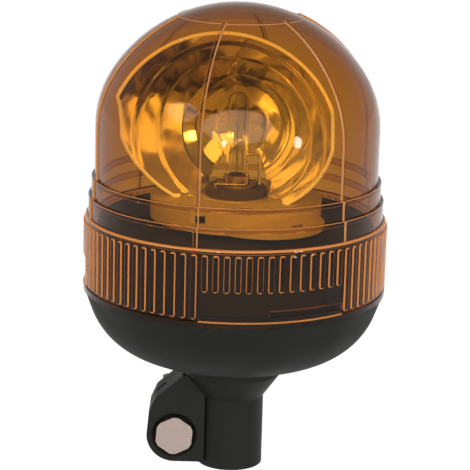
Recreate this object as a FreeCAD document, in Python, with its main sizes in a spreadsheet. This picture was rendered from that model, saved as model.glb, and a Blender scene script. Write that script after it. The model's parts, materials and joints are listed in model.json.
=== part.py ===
import FreeCAD, Part
import math
import os
import re

import Sketcher

# Rotating beacon on a pole clamp.
# Origin: centre of the pole socket's mouth.  +Z runs up the pole, -Y is the front,
# and the clamp's ears point to -X.  All sizes are millimetres and degrees.

V = FreeCAD.Vector
Z_AXIS = V(0, 0, 1)
OVERCUT = 1     # how far a cutting tool stands out of the face that it opens

SIZES = {
    # pole clamp
    "pole_bore_radius": 12.2,
    "tube_radius": 15.5,
    "tube_top": 34,
    "neck_radius": 24,
    "neck_height": 4,
    "socket_depth": 46,
    "chamber_radius": 9.5,
    "chamber_depth": 5,
    "spigot_radius": 16,
    "spigot_rise": 7,
    "contact_radius": 5,
    "contact_pin_radius": 1.6,
    "contact_reach": 2.3,
    "slot_width": 3,
    "slot_top": 38,
    "ear_half_width": 11.3,
    "ear_radius": 13.2,
    "ear_shoulder": 34,
    "bolt_offset": 26.5,
    "bolt_height": 15.5,
    "bolt_radius": 5,
    "bolt_clearance": 0.3,
    "hex_flats": 17,
    "hex_clearance": 0.2,
    "hex_depth": 5,
    "bolt_head_height": 6.4,
    "bolt_tail": 5,
    "washer_radius": 10,
    "washer_thickness": 2,
    "nut_radius": 8,
    "nut_height": 9,
    "nut_clearance": 0.05,
    "wing_reach": 20,
    "wing_thickness": 3.2,
    "wing_angle": 17,
    # base bowl
    "bowl_floor": 50,
    "bowl_wall": 3,
    "bowl_height": 37,
    "bowl_foot_radius": 27,
    "bowl_foot_step": 2,
    "bowl_foot_rise": 1.6,
    "bowl_corner_in": 9,
    "bowl_corner_rise": 11.3,
    "bowl_belly_round": 34,
    "bowl_lip_overhang": 0.3,
    "spigot_clearance": 0.15,
    "clamp_ring_inset": 2,
    "clamp_ring_thickness": 2,
    "clamp_screw_circle": 19.5,
    "clamp_screw_radius": 1.5,
    "clamp_screw_length": 11,
    # chassis under the lens
    "chassis_wall": 2.5,
    "chassis_depth": 8,
    "chassis_fit": 0.2,
    "chassis_flange": 1.5,
    "flange_gap": 0.3,
    "deck_rise": 33,
    "deck_thickness": 2.5,
    # lens
    "lens_lip_overhang": 0.8,
    "lens_lip_height": 2.5,
    "skirt_radius": 70.2,
    "skirt_height": 35.4,
    "lens_step_in": 1.4,
    "lens_step_height": 9,
    "dome_in": 4.3,
    "dome_start_rise": 77,
    "dome_height": 57,
    "dome_shoulder": 46,
    "lens_wall": 2.5,
    "rib_width": 2.2,
    "rib_height": 0.8,
    "rib_start_angle": 45.5,
    "crown_radius": 29,
    "crown_ring_width": 1.6,
    "flute_width": 2.8,
    "flute_height": 0.8,
    "flute_bottom": 3.4,
    "flute_top": 33,
    "short_flute_bottom": 16,
    "flute_pitch": 4,
    "panel_start": -12.5,
    "seal_thickness": 2,
    "seal_gap": 0.15,
    # bayonet
    "bayonet_ledge_height": 4.2,
    "bayonet_ledge_thickness": 2.8,
    "bayonet_reach": 2.3,
    "bayonet_play": 0.2,
    "bayonet_room": 3.3,
    "bayonet_start": 13.6,
    "bayonet_width": 32,
    "bayonet_lug_width": 8,
    # lamp
    "column_radius": 13,
    "column_bore": 9,
    "column_drop": 8,
    "column_flange_radius": 18,
    "column_flange": 2.5,
    "column_clearance": 0.15,
    "column_screw_circle": 15.5,
    "small_screw_radius": 1.25,
    "small_screw_head_radius": 2.3,
    "small_screw_head_height": 1.8,
    "head_radius": 14.5,
    "head_height": 4.3,
    "head_bore": 6,
    "bulb_flange_radius": 9.5,
    "bulb_base_clearance": 0.1,
    "glass_radius": 5,
    "glass_wall": 0.7,
    "glass_length": 44,
    "lamp_focus": 25,
    "lamp_head_gap": 0.5,
    "clip_wire_radius": 0.6,
    "clip_gap": 0.1,
    "clip_loop_height": 14.5,
    # rotor
    "bearing_clearance": 0.08,
    "thrust_thickness": 0.8,
    "axial_play": 0.1,
    "hub_radius": 16.5,
    "drum_radius": 40,
    "drum_wall": 2.4,
    "drum_gap": 1.5,
    "rotor_height": 11.2,
    "web_thickness": 2.7,
    "hump_radius": 27.4,
    "hump_offset_x": 13.4,
    "hump_offset_y": 18,
    "hump_side": 4,
    "hump_rise": 8.4,
    "hump_gap": 0.1,
    "weight_radius": 3.4,
    # reflector
    "focal_length": 14,
    "reflector_wall": 1.2,
    "reflector_step": 0.7,
    "reflector_half_width": 48,
    "reflector_turn": 11,
    "reflector_clearance": 1.6,
    "reflector_foot": 1.5,
    "reflector_foot_width": 50,
    "reflector_foot_back": 27,
    "reflector_lower_round": 46,
    # gear train
    "gear_module": 0.8,
    "ring_teeth": 90,
    "pinion_teeth": 12,
    "wheel_teeth": 30,
    "motor_teeth": 10,
    "gear_backlash": 0.16,
    "ring_gear_height": 4,
    "wheel_height": 4,
    "idler_pin_radius": 2,
    "plate_drop": 12,
    "plate_margin": 18,
    "plate_thickness": 2,
    "post_radius": 3,
    # motor
    "motor_radius": 13.8,
    "motor_length": 38,
    "motor_cap_height": 4,
    "motor_shaft_radius": 1,
    "motor_boss_radius": 3,
    "motor_screw_offset": 8,
}

# Sizes that follow from the ones above.
FOLLOWING = {
    "neck_top": "bowl_floor - neck_height",
    "bore_roof": "socket_depth + chamber_depth",
    "spigot_top": "bowl_floor + spigot_rise",
    "bowl_corner_radius": "skirt_radius - bowl_corner_in",
    "bowl_corner_height": "bowl_floor + bowl_corner_rise",
    "bowl_lip_radius": "skirt_radius + bowl_lip_overhang",
    "clamp_ring_radius": "bowl_foot_radius - clamp_ring_inset",
    "lens_base": "bowl_floor + bowl_height",
    "lens_inside": "skirt_radius - lens_wall",
    "lens_lip_radius": "skirt_radius + lens_lip_overhang",
    "lower_step_radius": "skirt_radius - lens_step_in",
    "upper_step_radius": "skirt_radius - 2 * lens_step_in",
    "dome_radius": "skirt_radius - dome_in",
    "dome_start": "lens_base + dome_start_rise",
    "chassis_radius": "lens_inside - bayonet_room",
    "chassis_flange_radius": "lens_inside - flange_gap",
    "deck_top": "lens_base + deck_rise",
    "web_top": "deck_top + rotor_height",
    "column_bottom": "deck_top - column_drop",
    "plate_bottom": "deck_top - plate_drop",
    "focus_height": "web_top + lamp_head_gap + head_height + lamp_focus",
}

doc = FreeCAD.newDocument("rotating_beacon")
sheet = doc.addObject("Spreadsheet::Sheet", "Sizes")
for row, (alias, value) in enumerate(SIZES.items(), start=1):
    sheet.set(f"A{row}", alias)
    sheet.set(f"B{row}", str(value))
    sheet.setAlias(f"B{row}", alias)
doc.recompute()

ALIAS = re.compile(r"\b(" + "|".join(SIZES) + r")\b")
FOLLOWER = re.compile(r"\b(" + "|".join(FOLLOWING) + r")\b")
sub_parts = []


# ---------------------------------------------------------------- tools

def spelled_out(text):
    """The expression with each following size replaced by what it follows from."""
    text = str(text)
    while FOLLOWER.search(text):
        text = FOLLOWER.sub(lambda found: f"({FOLLOWING[found.group(1)]})", text)
    return text


def size(text):
    """The value of an expression written in the sheet's names."""
    return float(sheet.evalExpression(spelled_out(text)))


def bound(text):
    """The same expression as other objects of the document write it."""
    return ALIAS.sub(r"Sizes.\1", spelled_out(text))


def tie(thing, **expressions):
    """Bind properties to the sheet; Base_x stands for Placement.Base.x."""
    for name, text in expressions.items():
        name = name.replace("Base_", "Placement.Base.")
        thing.setExpression(name, bound(text))
    return thing


def sub_part(thing, label):
    """Register a finished object as the sub-part of that name."""
    thing.Label = label
    sub_parts.append(thing)
    return thing


def arc(radius, side):
    """A round stretch: side 1 has its centre to the left of the way along it."""
    return radius, side


def arc_geometry(start, end, radius, side):
    half = (end - start) * 0.5
    reach = math.sqrt(max(radius ** 2 - half.Length ** 2, 0))
    normal = V(-half.y, half.x, 0).normalize()
    centre = start + half + normal * (reach * side)
    circle = Part.Circle(centre, Z_AXIS, radius)
    first, last = (start, end) if side > 0 else (end, start)
    return Part.ArcOfCircle(circle, circle.parameter(first), circle.parameter(last))


def draw_outline(sketch, corners):
    """Draw a closed outline.  A corner is (x, y) or (x, y, curve to the next)."""
    points = [V(size(c[0]), size(c[1]), 0) for c in corners]
    ends = []
    for i, corner in enumerate(corners):
        start, end = points[i], points[(i + 1) % len(points)]
        curve = corner[2] if len(corner) > 2 else None
        if curve is None:
            index = sketch.addGeometry(Part.LineSegment(start, end))
            ends.append((index, 1, 2))
        else:
            radius, side = size(curve[0]), curve[1]
            index = sketch.addGeometry(arc_geometry(start, end, radius, side))
            limit = sketch.addConstraint(Sketcher.Constraint("Radius", index, radius))
            sketch.setExpression(f"Constraints[{limit}]", bound(curve[0]))
            ends.append((index, 1, 2) if side > 0 else (index, 2, 1))
    for i, (index, first, last) in enumerate(ends):
        after = ends[(i + 1) % len(ends)]
        sketch.addConstraint(Sketcher.Constraint("Coincident", index, last, after[0], after[1]))
        pin(sketch, index, first, corners[i][0], corners[i][1])


def pin(sketch, index, point, x, y):
    """Hold a point of a sketch at a place given by two expressions."""
    for kind, text in (("DistanceX", x), ("DistanceY", y)):
        limit = sketch.addConstraint(Sketcher.Constraint(kind, -1, 1, index, point, size(text)))
        sketch.setExpression(f"Constraints[{limit}]", bound(text))


def new_body(name):
    return doc.addObject("PartDesign::Body", name)


def new_sketch(body, name, plane):
    sketch = body.newObject("Sketcher::SketchObject", f"{body.Name}_{name}")
    origin_plane = [f for f in body.Origin.OriginFeatures if f.Role == f"{plane}_Plane"][0]
    sketch.AttachmentSupport = [(origin_plane, "")]
    sketch.MapMode = "FlatFace"
    return sketch


def revolve(body, name, corners, angle=360):
    """Turn an outline in the XZ plane about the body's Z axis."""
    sketch = new_sketch(body, f"{name}_outline", "XZ")
    draw_outline(sketch, corners)
    feature = body.newObject("PartDesign::Revolution", f"{body.Name}_{name}")
    feature.Profile = sketch
    feature.ReferenceAxis = (sketch, ["V_Axis"])
    feature.Angle = angle
    sketch.Visibility = False
    doc.recompute()
    return feature


def turned(name, corners):
    """A body that is one revolved outline."""
    body = new_body(name)
    revolve(body, "turning", corners)
    return body


def pad(body, name, plane, corners, length):
    """Extrude an outline by the same amount to both sides of its plane."""
    sketch = new_sketch(body, f"{name}_outline", plane)
    draw_outline(sketch, corners)
    feature = body.newObject("PartDesign::Pad", f"{body.Name}_{name}")
    feature.Profile = sketch
    feature.Midplane = True
    tie(feature, Length=length)
    sketch.Visibility = False
    doc.recompute()
    return feature


def padded(name, plane, corners, length):
    body = new_body(name)
    pad(body, "block", plane, corners, length)
    return body


AXIS_TURN = {
    "Z": FreeCAD.Rotation(),
    "Y": FreeCAD.Rotation(V(1, 0, 0), -90),
    "X": FreeCAD.Rotation(V(0, 1, 0), 90),
}


def cylinder(name, radius, height, x="0", y="0", z="0", axis="Z"):
    thing = doc.addObject("Part::Cylinder", name)
    thing.Placement = FreeCAD.Placement(V(), AXIS_TURN[axis])
    return tie(thing, Radius=radius, Height=height, Base_x=x, Base_y=y, Base_z=z)


def box(name, x0, x1, y0, y1, z0, z1):
    thing = doc.addObject("Part::Box", name)
    tie(thing, Length=f"({x1}) - ({x0})", Width=f"({y1}) - ({y0})", Height=f"({z1}) - ({z0})")
    return tie(thing, Base_x=x0, Base_y=y0, Base_z=z0)


def fuse(name, *things):
    thing = doc.addObject("Part::MultiFuse", name)
    thing.Shapes = list(things)
    return thing


def cut(name, base, *tools):
    thing = doc.addObject("Part::Cut", name)
    thing.Base = base
    thing.Tool = tools[0] if len(tools) == 1 else fuse(f"{name}_tools", *tools)
    return thing


def common(name, first, second):
    thing = doc.addObject("Part::Common", name)
    thing.Base = first
    thing.Tool = second
    return thing


def group(name, things):
    """Equal loose pieces kept together as one sub-part."""
    thing = doc.addObject("Part::Compound", name)
    thing.Links = things
    return thing


def on_circle(radius, angle):
    """The x and y expressions of a point on a circle about the Z axis."""
    return f"({radius}) * cos({angle})", f"({radius}) * sin({angle})"


def turned_about_z(thing, angle):
    thing.Placement = FreeCAD.Placement(V(), FreeCAD.Rotation(Z_AXIS, angle))
    return thing


def sector(name, inner, outer, bottom, top, start, width):
    """A piece of a ring between two angles."""
    body = new_body(name)
    corners = [(inner, bottom), (outer, bottom), (outer, top), (inner, top)]
    revolve(body, "arc", corners, size(width))
    return turned_about_z(body, size(start))


def screw(name, x, y, top, length, radius, head_radius, head_height):
    """A pan-head screw: its head's seat is at top, its shank points down."""
    head = cylinder(f"{name}_head", head_radius, head_height, x, y, top)
    shank = cylinder(f"{name}_shank", radius, length, x, y, f"{top} - ({length})")
    return fuse(name, head, shank)


# ---------------------------------------------------------------- pole clamp

CLAMP_SCREW_ANGLES = (30, 150, 270)
HEX_TILT = 4.5


def hexagon(name, flats, length, y, tilt=HEX_TILT):
    """A six-sided prism round the clamp bolt's axis, growing towards +Y."""
    prism = doc.addObject("Part::Prism", name)
    prism.Polygon = 6
    turn = FreeCAD.Rotation(Z_AXIS, 30 + tilt)
    prism.Placement = FreeCAD.Placement(V(), AXIS_TURN["Y"] * turn)
    tie(prism, Circumradius=f"({flats}) / 2 / cos(30)", Height=length)
    return tie(prism, Base_x="-bolt_offset", Base_y=y, Base_z="bolt_height")


def bolt_cylinder(name, radius, length, y):
    """A cylinder on the clamp bolt's axis, growing towards +Y."""
    return cylinder(name, radius, length, "-bolt_offset", y, "bolt_height", "Y")


def make_pole_clamp():
    tube = turned("clamp_tube", [
        ("0", "0"),
        ("tube_radius", "0"),
        ("tube_radius", "tube_top"),
        ("neck_radius", "neck_top"),
        ("neck_radius", "bowl_floor"),
        ("spigot_radius", "bowl_floor"),
        ("spigot_radius", "spigot_top"),
        ("0", "spigot_top"),
    ])
    ears = padded("clamp_ears", "XZ", [
        ("-pole_bore_radius", "bolt_height - ear_radius"),
        ("-pole_bore_radius", "neck_top"),
        ("-neck_radius + 1", "neck_top - 1"),
        ("-bolt_offset - ear_radius + 4", "ear_shoulder"),
        ("-bolt_offset - ear_radius + 1", "ear_shoulder - 7"),
        ("-bolt_offset - ear_radius", "bolt_height", arc("ear_radius", 1)),
        ("-bolt_offset", "bolt_height - ear_radius"),
    ], "2 * ear_half_width")
    bore = cylinder("clamp_bore", "pole_bore_radius", "socket_depth + 1", z="-1")
    chamber = cylinder("contact_chamber", "chamber_radius", "bore_roof - 1", z="1")
    contact_hole = cylinder("contact_hole", "contact_radius", "spigot_top", z="1")
    slot = box("clamp_slot", "-bolt_offset - ear_radius - 2", "0",
               "-slot_width / 2", "slot_width / 2", "-1", "slot_top")
    bolt_hole = bolt_cylinder("bolt_hole", "bolt_radius + bolt_clearance",
                              "2 * ear_half_width + 2", "-ear_half_width - 1")
    pocket = hexagon("hex_pocket", "hex_flats + 2 * hex_clearance", "hex_depth",
                     "-ear_half_width")
    chamfer = doc.addObject("Part::Cone", "hex_chamfer")
    chamfer.Placement = FreeCAD.Placement(V(), AXIS_TURN["Y"])
    tie(chamfer, Radius1="hex_flats / 2 / cos(30) + 1.6", Radius2="hex_flats / 2 / cos(30) - 0.9",
        Height="2.5", Base_x="-bolt_offset", Base_y="-ear_half_width - 0.5",
        Base_z="bolt_height")
    screw_holes = []
    for i, angle in enumerate(CLAMP_SCREW_ANGLES):
        x, y = on_circle("clamp_screw_circle", angle)
        screw_holes.append(cylinder(f"clamp_screw_hole_{i}", "clamp_screw_radius",
                                    "clamp_screw_length", x, y, CLAMP_SCREW_TIP))
    blank = fuse("clamp_blank", tube, ears)
    clamp = cut("pole_clamp", blank, bore, chamber, contact_hole, slot, bolt_hole, pocket,
                chamfer, *screw_holes)
    sub_part(clamp, "pole_clamp")


CLAMP_RING_BOTTOM = "bowl_floor + bowl_wall"
CLAMP_SCREW_SEAT = "bowl_floor + bowl_wall + clamp_ring_thickness"
CLAMP_SCREW_TIP = f"{CLAMP_SCREW_SEAT} - clamp_screw_length"


def make_clamp_bolt():
    seat = "-ear_half_width + hex_depth"
    head = hexagon("bolt_head", "hex_flats", "bolt_head_height", f"{seat} - bolt_head_height")
    crown = bolt_cylinder("bolt_crown", "hex_flats / 2 + 0.6", "bolt_head_height",
                          f"{seat} - bolt_head_height")
    rounded = common("bolt_head_rounded", head, crown)
    length = "2 * ear_half_width - hex_depth + washer_thickness + nut_height + bolt_tail"
    shank = bolt_cylinder("bolt_shank", "bolt_radius", length, seat)
    sub_part(fuse("clamp_bolt", rounded, shank), "clamp_bolt")


def make_washer():
    disc = bolt_cylinder("washer_disc", "washer_radius", "washer_thickness", "ear_half_width")
    hole = bolt_cylinder("washer_hole", "bolt_radius + nut_clearance", "washer_thickness + 2",
                         "ear_half_width - 1")
    sub_part(cut("clamp_washer", disc, hole), "clamp_washer")


def make_wing_nut():
    seat = "ear_half_width + washer_thickness"
    hub = doc.addObject("Part::Cone", "nut_hub")
    hub.Placement = FreeCAD.Placement(V(), AXIS_TURN["Y"])
    tie(hub, Radius1="nut_radius", Radius2="nut_radius - 1.2", Height="nut_height",
        Base_x="-bolt_offset", Base_y=seat, Base_z="bolt_height")
    wings = []
    for i, side in enumerate((1, -1)):
        wing = padded(f"nut_wing_{i}", "XZ", [
            (f"{side} * (nut_radius - 2.4)", "1"),
            (f"{side} * (wing_reach - 7)", "4"),
            (f"{side} * wing_reach", "8.5", arc("4", side)),
            (f"{side} * (wing_reach - 4)", "14"),
            (f"{side} * (wing_reach - 8)", "12.5"),
            (f"{side} * (nut_radius - 2.4)", "nut_height - 1"),
        ], "wing_thickness")
        up = AXIS_TURN["Y"] * FreeCAD.Rotation(Z_AXIS, 90 + size("wing_angle"))
        wing.Placement = FreeCAD.Placement(V(), up)
        tie(wing, Base_x="-bolt_offset", Base_y=seat, Base_z="bolt_height")
        wings.append(wing)
    hole = bolt_cylinder("nut_hole", "bolt_radius + nut_clearance", "nut_height + 20",
                         f"{seat} - 1")
    sub_part(cut("wing_nut", fuse("nut_blank", hub, *wings), hole), "wing_nut")


def make_clamp_ring():
    ring = cylinder("ring_disc", "clamp_ring_radius", "clamp_ring_thickness",
                    z=CLAMP_RING_BOTTOM)
    holes = [cylinder("ring_hole", "spigot_radius + spigot_clearance",
                      "clamp_ring_thickness + 2", z=f"{CLAMP_RING_BOTTOM} - 1")]
    screws = []
    for i, angle in enumerate(CLAMP_SCREW_ANGLES):
        x, y = on_circle("clamp_screw_circle", angle)
        holes.append(cylinder(f"ring_screw_hole_{i}", "clamp_screw_radius",
                              "clamp_ring_thickness + 2", x, y, f"{CLAMP_RING_BOTTOM} - 1"))
        screws.append(screw(f"clamp_screw_{i}", x, y, CLAMP_SCREW_SEAT, "clamp_screw_length",
                            "clamp_screw_radius", "clamp_screw_radius * 2",
                            "clamp_screw_radius * 1.4"))
    sub_part(cut("clamp_ring", ring, *holes), "clamp_ring")
    sub_part(group("clamp_screws", screws), "clamp_screws")


def make_contact():
    body = cylinder("insulator_sleeve", "contact_radius",
                    "spigot_top - bore_roof + 2", z="bore_roof - 2")
    cap = cylinder("insulator_cap", "contact_radius + 2", "2", z="spigot_top")
    hole = cylinder("insulator_hole", "contact_pin_radius", "spigot_top", z="bore_roof - 3")
    sub_part(cut("contact_insulator", fuse("insulator_blank", body, cap), hole),
             "contact_insulator")
    shaft = cylinder("pin_shaft", "contact_pin_radius", "spigot_top - bore_roof + 4 + contact_reach",
                     z="bore_roof - 2 - contact_reach")
    head = cylinder("pin_head", "contact_pin_radius + 1", "1.2", z="bore_roof - 3.2")
    sub_part(fuse("contact_pin", shaft, head), "contact_pin")


# ---------------------------------------------------------------- bowl and chassis

def make_bowl():
    body = new_body("bowl_shell")
    outside = revolve(body, "outside", [
        ("0", "bowl_floor"),
        ("bowl_foot_radius", "bowl_floor"),
        ("bowl_foot_radius + bowl_foot_step", "bowl_floor + bowl_foot_rise"),
        ("bowl_corner_radius", "bowl_corner_height"),
        ("bowl_lip_radius", "lens_base"),
        ("0", "lens_base"),
    ])
    belly = [f"Edge{i}" for i, edge in enumerate(outside.Shape.Edges, start=1)
             if abs(edge.BoundBox.XMax - size("bowl_corner_radius")) < 1e-4
             and edge.BoundBox.ZLength < 1e-4]
    rounding = body.newObject("PartDesign::Fillet", "bowl_belly")
    rounding.Base = (outside, belly)
    tie(rounding, Radius="bowl_belly_round")
    doc.recompute()
    top = [f"Face{i}" for i, face in enumerate(rounding.Shape.Faces, start=1)
           if face.BoundBox.ZMin > size("lens_base") - 1e-4]
    shell = body.newObject("PartDesign::Thickness", "bowl_hollow")
    shell.Base = (rounding, top)
    shell.Reversed = True
    tie(shell, Value="bowl_wall")
    doc.recompute()
    inner = "chassis_radius + chassis_fit"
    depth = "lens_base - chassis_depth"
    revolve(body, "bead", [
        (inner, "lens_base"),
        (inner, depth),
        ("chassis_radius + chassis_wall", depth),
        ("bowl_lip_radius - 0.5", "lens_base"),
    ])
    hole = cylinder("bowl_hole", "spigot_radius + spigot_clearance", "bowl_wall + 2",
                    z="bowl_floor - 1")
    screw_holes = []
    for i, angle in enumerate(CLAMP_SCREW_ANGLES):
        x, y = on_circle("clamp_screw_circle", angle)
        screw_holes.append(cylinder(f"bowl_screw_hole_{i}", "clamp_screw_radius",
                                    "bowl_wall + 2", x, y, "bowl_floor - 1"))
    sub_part(cut("base_bowl", body, hole, *screw_holes), "base_bowl")


PLATE_TOP = "plate_bottom + plate_thickness"
DECK_BOTTOM = "deck_top - deck_thickness"
IDLER_X = "gear_module * (ring_teeth - pinion_teeth) / 2"
MOTOR_Y = "gear_module * (wheel_teeth + motor_teeth) / 2"
POSTS = (("-11.2", "-14"), ("14.8", "-12"), ("-13.2", "12"), ("14.8", "12"))


def post_place(i):
    """Posts stand beyond the idler (i < 2) and beyond the motor."""
    across, along = POSTS[i]
    start = "0" if i < 2 else MOTOR_Y
    return f"{IDLER_X} + ({across})", f"{start} + ({along})"


def bayonet_lug(i):
    """The lug of the chassis sits over the far end of the lens's ledge."""
    start = (f"bayonet_start + bayonet_width - bayonet_lug_width - 90 + {120 * i}")
    bottom = "lens_base + bayonet_ledge_height + bayonet_ledge_thickness + bayonet_play"
    return sector(f"bayonet_lug_{i}", "chassis_radius - 0.5",
                  "lens_inside - bayonet_play", bottom, f"{bottom} + 2.5",
                  start, "bayonet_lug_width")


def make_chassis():
    inner = "chassis_radius - chassis_wall"
    ring = turned("chassis_turning", [
        (inner, "lens_base - chassis_depth"),
        ("chassis_radius", "lens_base - chassis_depth"),
        ("chassis_radius", "lens_base"),
        ("chassis_flange_radius", "lens_base"),
        ("chassis_flange_radius", "lens_base + chassis_flange"),
        ("chassis_radius", "lens_base + chassis_flange"),
        ("chassis_radius", "deck_top"),
        ("column_radius + column_clearance", "deck_top"),
        ("column_radius + column_clearance", DECK_BOTTOM),
        (inner, DECK_BOTTOM),
    ])
    lugs = [bayonet_lug(i) for i in range(3)]
    posts = []
    for i in range(len(POSTS)):
        x, y = post_place(i)
        posts.append(cylinder(f"post_{i}", "post_radius", f"{DECK_BOTTOM} + 0.5 - ({PLATE_TOP})",
                              x, y, PLATE_TOP))
    holes = [cylinder("pinion_window", "gear_module * (pinion_teeth / 2 + 1) + 0.8",
                      "deck_thickness + 2", IDLER_X, "0", f"{DECK_BOTTOM} - 1")]
    for i in range(len(POSTS)):
        x, y = post_place(i)
        holes.append(cylinder(f"post_hole_{i}", "small_screw_radius", "5", x, y, PLATE_TOP))
    for i in range(3):
        x, y = on_circle("column_screw_circle", 90 + 120 * i)
        holes.append(cylinder(f"column_screw_hole_{i}", "small_screw_radius",
                              "deck_thickness - 0.7", x, y, DECK_BOTTOM))
    sub_part(cut("chassis", fuse("chassis_blank", ring, *lugs, *posts), *holes), "chassis")


def make_gear_plate():
    plate = box("plate_blank", f"{IDLER_X} - plate_margin", f"{IDLER_X} + plate_margin + 1",
                "-plate_margin", f"{MOTOR_Y} + plate_margin - 2", "plate_bottom", PLATE_TOP)
    holes = [
        cylinder("plate_pin_hole", "idler_pin_radius", "plate_thickness + 2", IDLER_X, "0",
                 "plate_bottom - 1"),
        cylinder("plate_boss_hole", "motor_boss_radius", "plate_thickness + 2", IDLER_X, MOTOR_Y,
                 "plate_bottom - 1"),
    ]
    plate_screws = []
    for i in range(len(POSTS)):
        x, y = post_place(i)
        holes.append(cylinder(f"plate_hole_{i}", "small_screw_radius", "plate_thickness + 2",
                              x, y, "plate_bottom - 1"))
        head = cylinder(f"plate_screw_head_{i}", "small_screw_head_radius",
                        "small_screw_head_height", x, y,
                        "plate_bottom - small_screw_head_height")
        shank = cylinder(f"plate_screw_shank_{i}", "small_screw_radius", "plate_thickness + 5",
                         x, y, "plate_bottom")
        plate_screws.append(fuse(f"plate_screw_{i}", head, shank))
    for i, side in enumerate((1, -1)):
        holes.append(cylinder(f"plate_motor_hole_{i}", "small_screw_radius",
                              "plate_thickness + 2", f"{IDLER_X} + {side} * motor_screw_offset",
                              MOTOR_Y, "plate_bottom - 1"))
    sub_part(cut("gear_plate", plate, *holes), "gear_plate")
    sub_part(group("plate_screws", plate_screws), "plate_screws")


def make_motor():
    can = cylinder("can_blank", "motor_radius", "motor_length", IDLER_X, MOTOR_Y,
                   "plate_bottom - motor_length")
    boss = cylinder("can_boss", "motor_boss_radius", "plate_thickness - 0.2", IDLER_X, MOTOR_Y,
                    "plate_bottom")
    shaft_hole = cylinder("can_shaft_hole", "motor_shaft_radius + bearing_clearance",
                          "plate_thickness + 5", IDLER_X, MOTOR_Y, "plate_bottom - 4")
    holes, screws = [shaft_hole], []
    for i, side in enumerate((1, -1)):
        x = f"{IDLER_X} + {side} * motor_screw_offset"
        holes.append(cylinder(f"can_screw_hole_{i}", "small_screw_radius", "3", x, MOTOR_Y,
                              "plate_bottom - 3"))
        screws.append(screw(f"motor_screw_{i}", x, MOTOR_Y, PLATE_TOP, "plate_thickness + 3",
                            "small_screw_radius", "small_screw_head_radius",
                            "small_screw_head_height"))
    sub_part(cut("motor_can", fuse("can_body", can, boss), *holes), "motor_can")
    sub_part(group("motor_screws", screws), "motor_screws")
    cap_bottom = "plate_bottom - motor_length - motor_cap_height"
    cap = doc.addObject("Part::Cone", "cap_blank")
    tie(cap, Radius1="motor_radius - 2.5", Radius2="motor_radius", Height="motor_cap_height",
        Base_x=IDLER_X, Base_y=MOTOR_Y, Base_z=cap_bottom)
    sub_part(cap, "motor_end_cap")
    terminals = []
    for i, side in enumerate((1, -1)):
        middle = f"{IDLER_X} + {side} * 6"
        terminals.append(box(f"motor_terminal_{i}", f"{middle} - 0.3", f"{middle} + 0.3",
                             f"{MOTOR_Y} - 1.4", f"{MOTOR_Y} + 1.4",
                             f"{cap_bottom} - 5", cap_bottom))
    sub_part(group("motor_terminals", terminals), "motor_terminals")
    shaft = cylinder("motor_shaft_rod", "motor_shaft_radius",
                     f"3.5 + ({PLATE_TOP}) - plate_bottom + wheel_height + 2.5",
                     IDLER_X, MOTOR_Y, "plate_bottom - 3.5")
    sub_part(shaft, "motor_shaft")


# ---------------------------------------------------------------- gears

PRESSURE_ANGLE = math.radians(20)
FLANK_POINTS = 3


def involute(angle):
    return math.tan(angle) - angle


def gear_wire(teeth, module, addendum, dedendum, backlash, turn=0.0):
    """The outline of an involute gear whose first tooth points along +X, turned by turn.

    backlash is taken off the tooth at the pitch circle; a negative one widens it,
    which gives the cutter of an internal gear.
    """
    pitch = module * teeth / 2
    base = pitch * math.cos(PRESSURE_ANGLE)
    tip, root = pitch + addendum, pitch - dedendum
    half = math.pi / (2 * teeth) - backlash / (2 * pitch)
    start = max(root, base)
    flank = []
    for i in range(FLANK_POINTS):
        radius = start + (tip - start) * i / (FLANK_POINTS - 1)
        reach = half + involute(PRESSURE_ANGLE) - involute(math.acos(min(1.0, base / radius)))
        flank.append((radius, reach))
    if root < start - 1e-6:
        flank.insert(0, (root, flank[0][1]))
    points = []
    for tooth in range(teeth):
        middle = turn + 2 * math.pi * tooth / teeth
        left = [(radius, middle - reach) for radius, reach in flank]
        right = [(radius, middle + reach) for radius, reach in reversed(flank)]
        points += [V(r * math.cos(a), r * math.sin(a), 0) for r, a in left + right]
    return Part.makePolygon(points + points[:1])


def gear_blank(name, teeth, backlash, height, bottom, turn=0.0, x="0", y="0"):
    """A toothed wheel without its bore."""
    module = size("gear_module")
    wire = gear_wire(round(size(teeth)), module, module, 1.25 * module, backlash, turn)
    thing = doc.addObject("Part::Feature", name)
    thing.Shape = Part.Face(wire).extrude(V(0, 0, size(height)))
    thing.Placement = FreeCAD.Placement(V(size(x), size(y), size(bottom)), FreeCAD.Rotation())
    return tie(thing, Base_x=x, Base_y=y, Base_z=bottom)


RING_BOTTOM = "deck_top + drum_gap - 0.1"
WHEEL_BOTTOM = f"{PLATE_TOP} + 1"
PINION_BOTTOM = f"{WHEEL_BOTTOM} + wheel_height"
PINION_TOP = f"{RING_BOTTOM} + ring_gear_height"


def make_idler():
    backlash = size("gear_backlash") / 2
    # A tooth of the pinion points along +X, into a gap of the ring gear.
    wheel = gear_blank("idler_wheel", "wheel_teeth", backlash, "wheel_height", WHEEL_BOTTOM,
                       math.pi / 2, IDLER_X)
    pinion = gear_blank("idler_pinion", "pinion_teeth", backlash,
                        f"{PINION_TOP} - ({PINION_BOTTOM})", PINION_BOTTOM, 0.0, IDLER_X)
    bore = cylinder("idler_bore", "idler_pin_radius + bearing_clearance", "30", IDLER_X, "0",
                    "plate_bottom")
    sub_part(cut("idler_gear", fuse("idler_blank", wheel, pinion), bore), "idler_gear")
    pin_rod = cylinder("idler_pin_rod", "idler_pin_radius",
                       f"{PINION_TOP} + 0.5 - plate_bottom", IDLER_X, "0", "plate_bottom")
    washer = cylinder("idler_pin_collar", "idler_pin_radius + 1.4", "0.9", IDLER_X, "0", PLATE_TOP)
    sub_part(fuse("idler_pin", pin_rod, washer), "idler_pin")


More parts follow.
